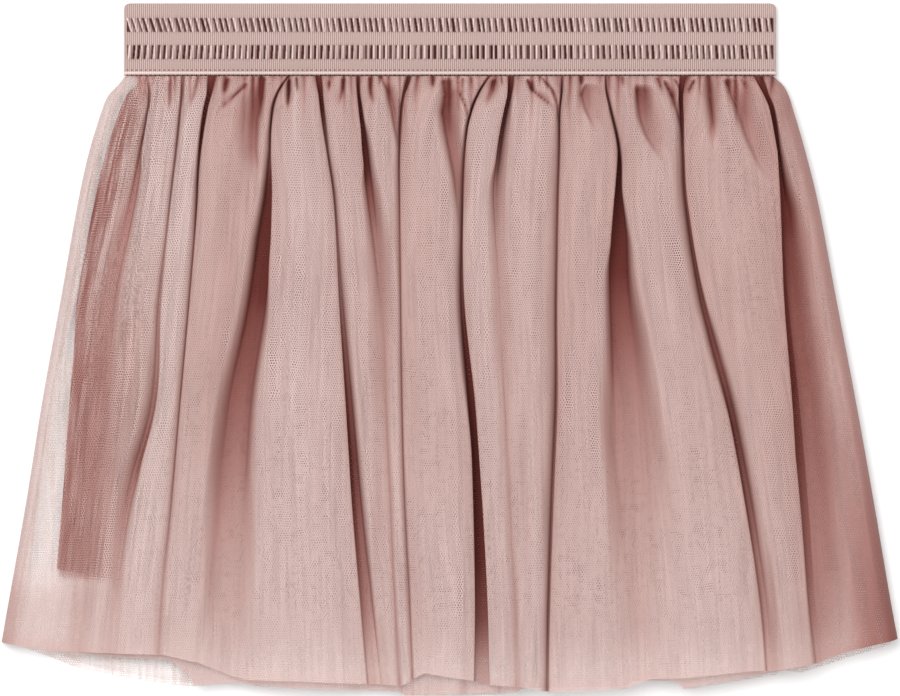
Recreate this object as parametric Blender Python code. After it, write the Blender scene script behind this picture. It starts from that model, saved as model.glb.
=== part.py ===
"""A child's gathered net skirt, lying flat on its back with the waistband at +Y.

The skirt is built as it is sewn: a smocked elastic waistband, two gathered nets
and a shorter lining, each net and lining with a front and a back that meet at
the sides. Every piece is a closed wall about 1 mm thick. Sizes are in
millimetres and become metres where a mesh is made.
"""

import math
from bisect import bisect_right
from collections import namedtuple

import bpy

MM = 0.001

# Whole skirt
SKIRT_TOP = 127.8
SEAM_GAP = 0.3
WALL = 1.0
LAYER_STEP = WALL + SEAM_GAP

# Waistband: a flattened tube, three elastic strips and two smocked rows
BAND_WIDTH = 240.6
BAND_LENGTH = 26.6
STRIP_ONE = 5.2
SMOCKED_ROW = 5.5
STRIP_TWO = 4.5
RIDGE_RISE = 0.8
BAND_BACK_WALL = 2.2
BAND_HOLLOW = 0.8
STRIP_HEIGHT = 5.2
RIDGE_HEIGHT = 6.3
SLOT_HEIGHT = 4.6
BAND_SIDE_ROUND = 2.6
BAND_SIDE_ANGLES = (60.0, 30.0, 0.0, -30.0, -60.0)
BAND_CORNER = 1.8
RIDGES_PER_ROW = 70
RIDGE_SHAPE = ((0.0, 0.0), (0.3, 1.0), (0.7, 1.0))
ROW_ONE_LEAN = 0.7
ROW_TWO_LEAN = -0.3
BAND_BACK_COLUMNS = 12
BAND_SLOT_COLUMNS = 12
BAND_SLOT_INSET = 2.6

# Sides of the net, by distance down from the seam
Outline = namedtuple("Outline", "drop left right")
OUTLINE = (
    Outline(0.0, -120.0, 119.6),
    Outline(3.3, -122.8, 123.2),
    Outline(7.0, -126.3, 125.2),
    Outline(12.6, -128.6, 127.0),
    Outline(27.4, -133.2, 131.2),
    Outline(45.9, -137.3, 135.8),
    Outline(82.9, -143.9, 142.8),
    Outline(119.9, -150.6, 149.9),
    Outline(156.9, -156.5, 156.5),
    Outline(193.9, -163.0, 162.8),
    Outline(208.7, -165.6, 165.6),
)

# Valleys between the large folds, left to right. Places are at the stations,
# distances down from the seam. The shade is the side on which the valley
# opens: -1 left, 1 right, 0 both. Width and depth are upper, middle and hem.
STATIONS = (0.0, 12.6, 45.9, 82.9, 119.9, 156.9, 193.9, 225.3)
LEVELS = (45.9, 119.9, 225.3)
Valley = namedtuple("Valley", "places shade_up shade_low width depth")
VALLEYS = (
    Valley((-111.7, -110.6, -116.9, -126.5, -129.5, -130.6, -135.1, -138.8),
           0, 0, (4, 6, 8), (0.7, 0.75, 0.3)),
    Valley((-98.8, -99.2, -102.9, -106.9, -108.8, -119.1, -126.5, -131.4),
           -1, -1, (3, 4, 6), (0.6, 0.6, 0.3)),
    Valley((-92.5, -92.5, -92.5, -95.5, -99.2, -102.9, -106.2, -108.0),
           -1, -1, (3, 3, 4), (0.75, 0.6, 0.3)),
    Valley((-64.8, -65.9, -65.9, -65.5, -69.6, -71.8, -74.0, -75.5),
           -1, -1, (4, 12, 12), (1.0, 0.8, 0.35)),
    Valley((-47.4, -47.4, -42.9, -41.1, -39.6, -36.6, -33.3, -29.2),
           1, 1, (4, 6, 6), (0.9, 1.0, 0.8)),
    Valley((-34.0, -33.3, -30.3, -27.4, -28.1, -26.6, -24.1, -21.5),
           0, 0, (3, 6, 6), (0.85, 0.05, 0.0)),
    Valley((-12.6, -16.7, -18.5, -18.5, -17.0, -16.3, -14.4, -13.0),
           -1, -1, (3, 3, 3), (0.9, 0.8, 0.5)),
    Valley((10.4, 8.1, 5.6, 4.8, 9.3, 12.6, 14.8, 15.5),
           -1, -1, (2, 4, 6), (0.8, 0.95, 0.9)),
    Valley((22.6, 20.7, 17.4, 20.4, 22.9, 25.2, 25.9, 25.9),
           0, 0, (4, 6, 6), (0.5, 0.1, 0.05)),
    Valley((41.4, 40.7, 40.0, 39.2, 39.6, 37.7, 36.6, 35.9),
           -1, -1, (2, 3, 3), (0.8, 0.8, 0.6)),
    Valley((58.1, 59.9, 61.8, 64.4, 65.9, 67.3, 68.8, 70.3),
           0, 0, (6, 11, 12), (1.0, 0.85, 0.35)),
    Valley((85.1, 85.5, 87.7, 91.8, 100.6, 107.3, 112.9, 116.9),
           -1, 1, (3, 4, 5), (0.7, 0.8, 0.4)),
    Valley((113.6, 116.6, 121.0, 122.5, 125.1, 127.7, 132.1, 136.9),
           1, 1, (5, 11, 10), (0.95, 0.95, 0.5)),
)

# Large folds of the front, left to right: how high each stands, how many
# small gathers the seam holds in it, and the front hem's drop at its left
Fold = namedtuple("Fold", "height gathers hem")
FOLDS = (
    Fold(4.5, 2, 208.5),
    Fold(6.5, 2, 212.0),
    Fold(7.0, 1, 213.0),
    Fold(9.0, 4, 215.0),
    Fold(10.5, 3, 222.5),
    Fold(8.0, 2, 223.5),
    Fold(8.5, 3, 224.0),
    Fold(10.0, 3, 225.5),
    Fold(9.5, 2, 226.0),
    Fold(10.0, 3, 226.0),
    Fold(10.0, 2, 225.5),
    Fold(11.0, 4, 223.0),
    Fold(10.5, 4, 220.5),
    Fold(6.0, 2, 216.0),
)
LAST_HEM = 207.5
GATHER_HEIGHT = 0.85
GATHER_FADE = 15.0
FOLD_START = 13.0
SEAM_SHARE = 0.12
DOME_SHARE = 0.4
DOME_POWER = 2.2
STEEP_RUN = 2.6
FLOOR_SHARE = 0.25
COLUMNS_PER_GATHER = 3
ROLL_SHARE = 1.0 / 3.0
ROLL_WIDTH = 3.0
FRONT_ROWS = (0.0, 0.025, 0.065, 0.125, 0.21, 0.32, 0.45, 0.58, 0.71, 0.84, 0.94, 1.0)
UNDER_ROWS = (0.0, 0.025, 0.065, 0.21, 0.45, 0.71, 0.94, 1.0)
FLAT_ROWS = (0.0, 0.025, 0.065, 0.21, 0.45, 0.71, 0.9, 1.0)
BACK_COLUMNS = 36
UNDER_BACK_COLUMNS = 24
LINING_COLUMNS = 12
UNDER_SHARE = 0.6
UNDER_REACH = 5.0
UNDER_COLUMNS_PER_FOLD = 4
END_FOLD_COLUMNS = 6

# Hem of the back, which shows below the front: place across and drop
HemPoint = namedtuple("HemPoint", "across drop")
BACK_HEM = (
    HemPoint(-165.6, 208.7),
    HemPoint(-148.0, 214.2),
    HemPoint(-129.5, 220.2),
    HemPoint(-111.0, 223.5),
    HemPoint(-96.2, 225.3),
    HemPoint(-81.4, 224.0),
    HemPoint(-69.6, 225.3),
    HemPoint(-40.7, 226.4),
    HemPoint(-20.0, 226.8),
    HemPoint(-12.0, 228.7),
    HemPoint(18.5, 228.3),
    HemPoint(25.5, 226.8),
    HemPoint(55.5, 226.4),
    HemPoint(66.6, 225.6),
    HemPoint(70.0, 223.2),
    HemPoint(84.0, 222.9),
    HemPoint(88.0, 225.7),
    HemPoint(111.0, 222.4),
    HemPoint(136.2, 218.7),
    HemPoint(148.0, 214.2),
    HemPoint(165.6, 206.5),
)
UNDER_LIFT = 1.6

# Levels of the stacked layers, lowest face to floor
BACK_LEVEL = 0.0
UNDER_BACK_LEVEL = BACK_LEVEL + LAYER_STEP
LINING_BACK_LEVEL = UNDER_BACK_LEVEL + LAYER_STEP
LINING_FRONT_LEVEL = LINING_BACK_LEVEL + LAYER_STEP
UNDER_FRONT_LEVEL = LINING_FRONT_LEVEL + LAYER_STEP
FRONT_LEVEL = UNDER_FRONT_LEVEL + LAYER_STEP + SEAM_GAP
UNDER_INSET = 2.8
SIDE_ROLL = 5.0
MITRE_LIMIT = 1.3
UNDER_ROLL = 3.0
UNDER_FADE = 10.0

# Lining: how far its sides lie inside the net's, and its hem
LiningEdge = namedtuple("LiningEdge", "drop inset")
LINING_EDGE = (
    LiningEdge(0.0, 7.0),
    LiningEdge(45.9, 6.2),
    LiningEdge(82.9, 6.2),
    LiningEdge(101.4, 8.5),
    LiningEdge(138.4, 11.8),
    LiningEdge(185.0, 16.0),
)
LINING_SIDE_DROP = 181.7
LINING_MIDDLE_DROP = 198.5

NET_COLOUR = (0.62, 0.37, 0.33, 1.0)
ELASTIC_COLOUR = (0.58, 0.36, 0.33, 1.0)
LINING_COLOUR = (0.55, 0.29, 0.26, 1.0)


def clear_scene():
    """Remove whatever the new scene holds."""
    for item in list(bpy.data.objects):
        bpy.data.objects.remove(item, do_unlink=True)


def make_material(name, colour, roughness):
    """A plain cloth material."""
    material = bpy.data.materials.new(name)
    material.use_nodes = True
    shader = material.node_tree.nodes["Principled BSDF"]
    shader.inputs["Base Color"].default_value = colour
    shader.inputs["Roughness"].default_value = roughness
    shader.inputs["Metallic"].default_value = 0.0
    return material


def make_object(name, points, faces, material):
    """Turn points in millimetres and their faces into one named object."""
    mesh = bpy.data.meshes.new(name)
    mesh.from_pydata([(x * MM, y * MM, z * MM) for x, y, z in points], [], faces)
    mesh.materials.append(material)
    mesh.shade_smooth()
    mesh.set_sharp_from_angle(angle=math.radians(50))
    item = bpy.data.objects.new(name, mesh)
    bpy.context.collection.objects.link(item)
    return item


def slope_at(knots, values, index):
    """Slope of a table at one of its rows."""
    low = max(index - 1, 0)
    high = min(index + 1, len(knots) - 1)
    return (values[high] - values[low]) / (knots[high] - knots[low])


def smooth_value(knots, values, place):
    """Smooth curve through a table's rows, level past its ends."""
    if place <= knots[0]:
        return values[0]
    if place >= knots[-1]:
        return values[-1]
    index = bisect_right(knots, place) - 1
    span = knots[index + 1] - knots[index]
    part = (place - knots[index]) / span
    start = slope_at(knots, values, index) * span
    end = slope_at(knots, values, index + 1) * span
    step = part * part * (3.0 - 2.0 * part)
    curve = values[index] * (1.0 - step) + values[index + 1] * step
    return curve + (part - 1.0) * part * ((part - 1.0) * start + part * end)


def straight_value(knots, values, place):
    """Straight lines through a table's rows, level past its ends."""
    if place <= knots[0]:
        return values[0]
    if place >= knots[-1]:
        return values[-1]
    index = bisect_right(knots, place) - 1
    part = (place - knots[index]) / (knots[index + 1] - knots[index])
    return values[index] * (1.0 - part) + values[index + 1] * part


def clamp(value):
    """Keep a share between nothing and all."""
    return min(max(value, 0.0), 1.0)


def round_rise(part):
    """Quarter of an ellipse: steep at nothing, level at all."""
    part = clamp(part)
    return math.sqrt(1.0 - (1.0 - part) ** 2)


def soft_rise(part):
    """Soft step from nothing to all."""
    part = clamp(part)
    return part * part * (3.0 - 2.0 * part)


def sides(drop):
    """Left and right edge of the net at a distance below the seam."""
    drops = [row.drop for row in OUTLINE]
    left = smooth_value(drops, [row.left for row in OUTLINE], drop)
    right = smooth_value(drops, [row.right for row in OUTLINE], drop)
    return left, right


def fold_edges(drop):
    """Places of the outline and of every valley at a distance below the seam."""
    left, right = sides(drop)
    valleys = [smooth_value(STATIONS, row.places, drop) for row in VALLEYS]
    return [left] + valleys + [right]


def notch(valley, across, place, drop):
    """How much of a fold's height one valley takes away at a place."""
    width = straight_value(LEVELS, valley.width, drop)
    depth = straight_value(LEVELS, valley.depth, drop)
    change = soft_rise((drop - LEVELS[0]) / (LEVELS[1] - LEVELS[0]))
    shade = valley.shade_up + (valley.shade_low - valley.shade_up) * change
    away = across - place
    open_side = 0.5 + 0.5 * shade if away > 0.0 else 0.5 - 0.5 * shade
    run = STEEP_RUN + (2.0 * width - STEEP_RUN) * open_side
    floor = FLOOR_SHARE * width * open_side
    reach = (abs(away) - floor) / run
    rise = round_rise(reach) * (1.0 - open_side) + soft_rise(reach) * open_side
    return depth * (1.0 - rise)


def fold_height(edges, across, drop):
    """Height of the large folds above the flat cloth, and the place's gather wave."""
    fold = min(max(bisect_right(edges, across) - 1, 0), len(FOLDS) - 1)
    part = clamp((across - edges[fold]) / (edges[fold + 1] - edges[fold]))
    centres = [index + 0.5 for index in range(len(FOLDS))]
    height = straight_value(centres, [row.height for row in FOLDS], fold + part)
    height *= 1.0 - DOME_SHARE * abs(2.0 * part - 1.0) ** DOME_POWER
    for valley, place in zip(VALLEYS, edges[1:-1]):
        height *= 1.0 - notch(valley, across, place, drop)
    puff = 1.0 - (1.0 - SEAM_SHARE) * math.exp(-drop / FOLD_START)
    wave = -math.cos(2.0 * math.pi * part * FOLDS[fold].gathers)
    gather = GATHER_HEIGHT * (1.0 + wave) * math.exp(-drop / GATHER_FADE)
    return height * puff, gather


def front_top(edges, across, drop):
    """Upper face of the outer net's front."""
    inside = min(across - edges[0], edges[-1] - across)
    roll = round_rise(inside / SIDE_ROLL)
    edge_level = BACK_LEVEL + LAYER_STEP
    folds, gather = fold_height(edges, across, drop)
    return edge_level + (FRONT_LEVEL + WALL - edge_level + folds + gather) * roll


def under_top(edges, across, drop):
    """Upper face of the second net's front, kept inside the outer folds."""
    inside = min(across - edges[0], edges[-1] - across) - UNDER_INSET
    roll = round_rise(inside / UNDER_ROLL)
    edge_level = UNDER_BACK_LEVEL + LAYER_STEP
    nearby = [across + UNDER_REACH * step / 2.0 for step in range(-2, 3)]
    lowest = min(fold_height(edges, place, drop)[0] for place in nearby)
    fade = soft_rise(inside / UNDER_FADE)
    return edge_level + (UNDER_FRONT_LEVEL + WALL - edge_level) * roll + UNDER_SHARE * lowest * fade


def place_in_fold(edges, fold, part):
    """Place across of a column, with close columns where the sides roll down."""
    width = edges[fold + 1] - edges[fold]
    if fold == 0:
        return edges[0] + straight_value((0.0, ROLL_SHARE, 1.0), (0.0, ROLL_WIDTH, width), part)
    if fold == len(FOLDS) - 1:
        return edges[-1] - straight_value((0.0, ROLL_SHARE, 1.0), (0.0, ROLL_WIDTH, width), 1.0 - part)
    return edges[fold] + part * width


def front_columns():
    """Fold number and share across it of every column of the outer front."""
    columns = []
    for fold, row in enumerate(FOLDS):
        count = row.gathers * COLUMNS_PER_GATHER
        columns += [(fold, step / count) for step in range(count)]
    return columns + [(len(FOLDS) - 1, 1.0)]


def under_columns():
    """Fold number and share across it of every column of the second front."""
    last = len(FOLDS) - 1
    columns = []
    for fold in range(len(FOLDS)):
        count = END_FOLD_COLUMNS if fold in (0, last) else UNDER_COLUMNS_PER_FOLD
        columns += [(fold, step / count) for step in range(count)]
    return columns + [(last, 1.0)]


def offset_row(row, thickness):
    """The row's lower face: each point moved square to the cloth by its thickness."""
    moved = []
    last = len(row) - 1
    for index, (across, along, height) in enumerate(row):
        before = row[max(index - 1, 0)]
        after = row[min(index + 1, last)]
        normals = []
        for start, end in ((before, row[index]), (row[index], after)):
            run = end[0] - start[0]
            rise = end[2] - start[2]
            length = math.hypot(run, rise)
            if length > 0.0:
                normals.append((-rise / length, run / length))
        side = sum(normal[0] for normal in normals)
        up = sum(normal[1] for normal in normals)
        length = math.hypot(side, up)
        hollow = before[2] + after[2] > 2.0 * height
        reach = thickness if hollow else thickness * min(2.0 / length, MITRE_LIMIT)
        if index in (0, last):
            moved.append((across + math.copysign(thickness, -across), along, height))
        else:
            moved.append((across - side / length * reach, along, height - up / length * reach))
    return moved


def wall_faces(rows, columns):
    """Faces of a closed wall from an upper and a lower grid of the same size."""
    size = rows * columns

    def upper(row, column):
        return row * columns + column

    def lower(row, column):
        return size + row * columns + column

    faces = []
    for row in range(rows - 1):
        for column in range(columns - 1):
            faces.append((upper(row, column), upper(row + 1, column),
                          upper(row + 1, column + 1), upper(row, column + 1)))
            faces.append((lower(row, column), lower(row, column + 1),
                          lower(row + 1, column + 1), lower(row + 1, column)))
        end = columns - 1
        faces.append((upper(row, 0), lower(row, 0), lower(row + 1, 0), upper(row + 1, 0)))
        faces.append((upper(row, end), upper(row + 1, end), lower(row + 1, end), lower(row, end)))
    last = rows - 1
    for column in range(columns - 1):
        faces.append((upper(0, column), upper(0, column + 1), lower(0, column + 1), lower(0, column)))
        faces.append((upper(last, column), lower(last, column),
                      lower(last, column + 1), upper(last, column + 1)))
    return faces


def wall_object(name, top_rows, bottom_rows, material):
    """A closed wall between an upper and a lower grid of points."""
    points = [point for row in top_rows for point in row]
    points += [point for row in bottom_rows for point in row]
    faces = wall_faces(len(top_rows), len(top_rows[0]))
    return make_object(name, points, faces, material)


def net_top_y():
    """Where the gathered net starts, just clear of the waistband."""
    return SKIRT_TOP - BAND_LENGTH - SEAM_GAP


def front_hem(fold, part):
    """Drop of the front's hem at a place in a fold."""
    knots = list(range(len(FOLDS) + 1))
    return smooth_value(knots, [row.hem for row in FOLDS] + [LAST_HEM], fold + part)


def outer_front_row(share):
    """One row of the outer front's upper face, at a share of its length."""
    row = []
    for fold, part in front_columns():
        drop = share * front_hem(fold, part)
        edges = fold_edges(drop)
        across = place_in_fold(edges, fold, part)
        row.append((across, net_top_y() - drop, front_top(edges, across, drop)))
    return row


def under_front_row(share):
    """One row of the second front's upper face, at a share of its length."""
    row = []
    for fold, part in under_columns():
        drop = share * (front_hem(fold, part) + UNDER_LIFT)
        edges = fold_edges(drop)
        place = place_in_fold(edges, fold, part)
        width = edges[-1] - edges[0]
        across = edges[0] + UNDER_INSET + (place - edges[0]) * (width - 2.0 * UNDER_INSET) / width
        row.append((across, net_top_y() - drop, under_top(edges, across, drop)))
    return row


def make_net_front(name, row_of, shares, material):
    """A gathered front: its upper face from a row function, its lower face square below."""
    top_rows = [row_of(share) for share in shares]
    bottom_rows = [offset_row(row, WALL) for row in top_rows]
    return wall_object(name, top_rows, bottom_rows, material)


def back_hem(across):
    """Drop of the back's hem at a place across."""
    knots = [row.across for row in BACK_HEM]
    return straight_value(knots, [row.drop for row in BACK_HEM], across)


def under_back_hem(across):
    """Drop of the second back's hem, a little above the outer one's."""
    return back_hem(across) - UNDER_LIFT


def lining_hem(across):
    """Drop of the lining's hem, a shallow curve."""
    edge = BACK_HEM[-1].across
    return LINING_MIDDLE_DROP - (LINING_MIDDLE_DROP - LINING_SIDE_DROP) * (across / edge) ** 2


def lining_inset(drop):
    """How far the lining's side lies inside the net's."""
    drops = [row.drop for row in LINING_EDGE]
    return smooth_value(drops, [row.inset for row in LINING_EDGE], drop)


def flat_rows(level, columns, inset_at, hem_at):
    """Grid of a panel that lies flat, between the net's sides less an inset."""
    rows = []
    for share in FLAT_ROWS:
        row = []
        for step in range(columns + 1):
            part = step / columns
            hem_place = (2.0 * part - 1.0) * BACK_HEM[-1].across
            drop = share * hem_at(hem_place)
            left, right = sides(drop)
            inset = inset_at(drop)
            across = left + inset + part * (right - left - 2.0 * inset)
            row.append((across, net_top_y() - drop, level))
        rows.append(row)
    return rows


def make_flat_panel(name, level, columns, inset_at, hem_at, material):
    """A panel of even thickness that lies flat."""
    top = flat_rows(level + WALL, columns, inset_at, hem_at)
    bottom = flat_rows(level, columns, inset_at, hem_at)
    return wall_object(name, top, bottom, material)


def make_backs_and_lining(net, lining):
    """The four panels that lie flat under the gathered fronts."""
    make_flat_panel("net_outer_back", BACK_LEVEL, BACK_COLUMNS, lambda drop: 0.0, back_hem, net)
    make_flat_panel("net_under_back", UNDER_BACK_LEVEL, UNDER_BACK_COLUMNS,
                    lambda drop: UNDER_INSET, under_back_hem, net)
    for name, level in (("lining_back", LINING_BACK_LEVEL), ("lining_front", LINING_FRONT_LEVEL)):
        make_flat_panel(name, level, LINING_COLUMNS, lining_inset, lining_hem, lining)


def band_rows():
    """Rows of the waistband: distance from its top, ridge share and lean."""
    row_one = STRIP_ONE
    row_two = STRIP_ONE + SMOCKED_ROW + STRIP_TWO
    rows = [(0.0, 0.0, 0.0)]
    for start, lean in ((row_one, ROW_ONE_LEAN), (row_two, ROW_TWO_LEAN)):
        for from_start, ridge in ((0.0, 0.0), (RIDGE_RISE, 1.0),
                                  (SMOCKED_ROW - RIDGE_RISE, 1.0), (SMOCKED_ROW, 0.0)):
            rows.append((start + from_start, ridge, lean * (from_start / SMOCKED_ROW - 0.5)))
    rows.append((BAND_LENGTH, 0.0, 0.0))
    return rows


def band_loop(from_top, ridge, lean):
    """One ring of the waistband's outer face: front with its ridges, side, back, side."""
    corner = BAND_CORNER * (1.0 - round_rise(from_top / BAND_CORNER))
    half = 0.5 * BAND_WIDTH - corner
    flat_half = half - BAND_SIDE_ROUND
    along = SKIRT_TOP - from_top
    pitch = 2.0 * flat_half / RIDGES_PER_ROW
    loop = []
    for number in range(RIDGES_PER_ROW):
        for place, rise in RIDGE_SHAPE:
            across = -flat_half + pitch * (number + place)
            shift = 0.0 if number == 0 and place == 0.0 else lean
            relief = SLOT_HEIGHT + (RIDGE_HEIGHT - SLOT_HEIGHT) * rise
            height = STRIP_HEIGHT + (relief - STRIP_HEIGHT) * ridge
            loop.append((across + shift, along, height))
    loop.append((flat_half, along, STRIP_HEIGHT))
    middle = 0.5 * STRIP_HEIGHT
    turns = [math.radians(angle) for angle in BAND_SIDE_ANGLES]
    side = [(flat_half + BAND_SIDE_ROUND * math.cos(turn), middle + middle * math.sin(turn)) for turn in turns]
    loop += [(across, along, height) for across, height in side]
    for step in range(BAND_BACK_COLUMNS + 1):
        loop.append((flat_half * (1.0 - 2.0 * step / BAND_BACK_COLUMNS), along, 0.0))
    loop += [(-across, along, height) for across, height in reversed(side)]
    return loop


def slot_loop(from_top):
    """One ring of the waistband's plain inner face."""
    half = 0.5 * BAND_WIDTH - BAND_SLOT_INSET - BAND_CORNER
    along = SKIRT_TOP - from_top
    places = [half * (2.0 * step / BAND_SLOT_COLUMNS - 1.0) for step in range(BAND_SLOT_COLUMNS + 1)]
    upper = [(across, along, BAND_BACK_WALL + BAND_HOLLOW) for across in places]
    lower = [(across, along, BAND_BACK_WALL) for across in reversed(places)]
    return upper + lower


def ring_share(point):
    """Place round the flattened ring: front from left to right, then back again."""
    across, _, height = point
    part = clamp(0.5 + across / BAND_WIDTH)
    if height > 0.5 * STRIP_HEIGHT:
        return 0.5 * part
    return 1.0 - 0.5 * part


def rim_faces(outer, inner, outer_start, inner_start):
    """Triangles of the flat rim between an outer and an inner ring, once round."""
    faces = []
    here = 0
    there = 0
    while here < len(outer) or there < len(inner):
        next_outer = ring_share(outer[here + 1]) if here + 1 < len(outer) else 1.0 + here - len(outer)
        next_inner = ring_share(inner[there + 1]) if there + 1 < len(inner) else 1.0 + there - len(inner)
        a = outer_start + here % len(outer)
        b = inner_start + there % len(inner)
        if there >= len(inner) or (here < len(outer) and next_outer <= next_inner):
            here += 1
            faces.append((a, outer_start + here % len(outer), b))
        else:
            there += 1
            faces.append((a, inner_start + there % len(inner), b))
    return faces


def make_waistband(material):
    """The waistband: a ring wall with smocked ridges outside and a plain inside."""
    rings = [band_loop(*row) for row in band_rows()]
    count = len(rings[0])
    points = [point for ring in rings for point in ring]
    faces = []
    for ring in range(len(rings) - 1):
        for step in range(count):
            a = ring * count + step
            b = ring * count + (step + 1) % count
            faces.append((a, a + count, b + count, b))
    inner_top = slot_loop(0.0)
    inner_bottom = slot_loop(BAND_LENGTH)
    top_start = len(points)
    bottom_start = top_start + len(inner_top)
    points += inner_top + inner_bottom
    for step in range(len(inner_top)):
        after = (step + 1) % len(inner_top)
        faces.append((top_start + step, top_start + after, bottom_start + after, bottom_start + step))
    faces += rim_faces(rings[0], inner_top, 0, top_start)
    last_ring = (len(rings) - 1) * count
    bottom_rim = rim_faces(rings[-1], inner_bottom, last_ring, bottom_start)
    faces += [tuple(reversed(face)) for face in bottom_rim]
    return make_object("waistband", points, faces, material)


def build_skirt():
    """Make every piece of the skirt."""
    clear_scene()
    net = make_material("soft_net", NET_COLOUR, 0.7)
    elastic = make_material("smocked_elastic", ELASTIC_COLOUR, 0.8)
    lining = make_material("lining_cloth", LINING_COLOUR, 0.8)
    make_waistband(elastic)
    make_net_front("net_outer_front", outer_front_row, FRONT_ROWS, net)
    make_net_front("net_under_front", under_front_row, UNDER_ROWS, net)
    make_backs_and_lining(net, lining)


build_skirt()
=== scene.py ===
"""Dressed model of a child's gathered net skirt, lying flat with its front up.

Lengths in the tables are millimetres, as in the part's own sizes, and become
metres where a mesh is made. "Across" runs over the skirt, "drop" is the
distance down from the seam under the waistband, and "height" is over the floor.
"""

import math
from collections import namedtuple

import bpy
import numpy as np
from bpy.props import FloatProperty, FloatVectorProperty, PointerProperty
from bpy.types import Operator, Panel, PropertyGroup
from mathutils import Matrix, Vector


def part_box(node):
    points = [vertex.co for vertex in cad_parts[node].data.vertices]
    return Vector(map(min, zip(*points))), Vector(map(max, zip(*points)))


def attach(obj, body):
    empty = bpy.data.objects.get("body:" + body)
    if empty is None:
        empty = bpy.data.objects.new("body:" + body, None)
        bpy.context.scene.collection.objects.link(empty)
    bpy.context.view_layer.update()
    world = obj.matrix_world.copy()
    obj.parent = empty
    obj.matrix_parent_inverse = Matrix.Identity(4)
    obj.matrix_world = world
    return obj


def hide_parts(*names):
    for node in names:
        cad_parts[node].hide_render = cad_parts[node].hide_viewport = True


bl_info = {
    "name": "Gathered net skirt",
    "version": (1, 0, 0),
    "blender": (4, 5, 0),
    "location": "3D View > Sidebar > Skirt",
    "description": "Dresses the packed solids of a child's net skirt as cloth",
    "category": "Object",
}

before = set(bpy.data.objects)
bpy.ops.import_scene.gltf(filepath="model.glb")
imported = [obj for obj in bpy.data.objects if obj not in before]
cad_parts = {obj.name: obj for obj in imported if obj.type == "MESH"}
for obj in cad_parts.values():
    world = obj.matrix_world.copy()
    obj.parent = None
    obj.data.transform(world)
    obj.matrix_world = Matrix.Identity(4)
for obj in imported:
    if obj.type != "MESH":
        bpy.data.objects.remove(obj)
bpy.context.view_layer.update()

MM = 0.001


def table(columns, *rows):
    """Rows of a table with named columns."""
    kind = namedtuple("Row", columns)
    return tuple(kind(*row) for row in rows)


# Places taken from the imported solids
BAND_LOW, BAND_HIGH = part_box("waistband")
SEAM_Y = BAND_LOW[1] / MM - 0.3
BAND_TOP_Y = BAND_HIGH[1] / MM

OUTLINE = table(
    "drop left right",
    (0, -120, 119.6), (3.3, -122.8, 123.2), (7, -126.3, 125.2),
    (12.6, -128.6, 127), (27.4, -133.2, 131.2), (45.9, -137.3, 135.8),
    (82.9, -143.9, 142.8), (119.9, -150.6, 149.9), (156.9, -156.5, 156.5),
    (193.9, -163, 162.8), (208.7, -165.6, 165.6),
)

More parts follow.
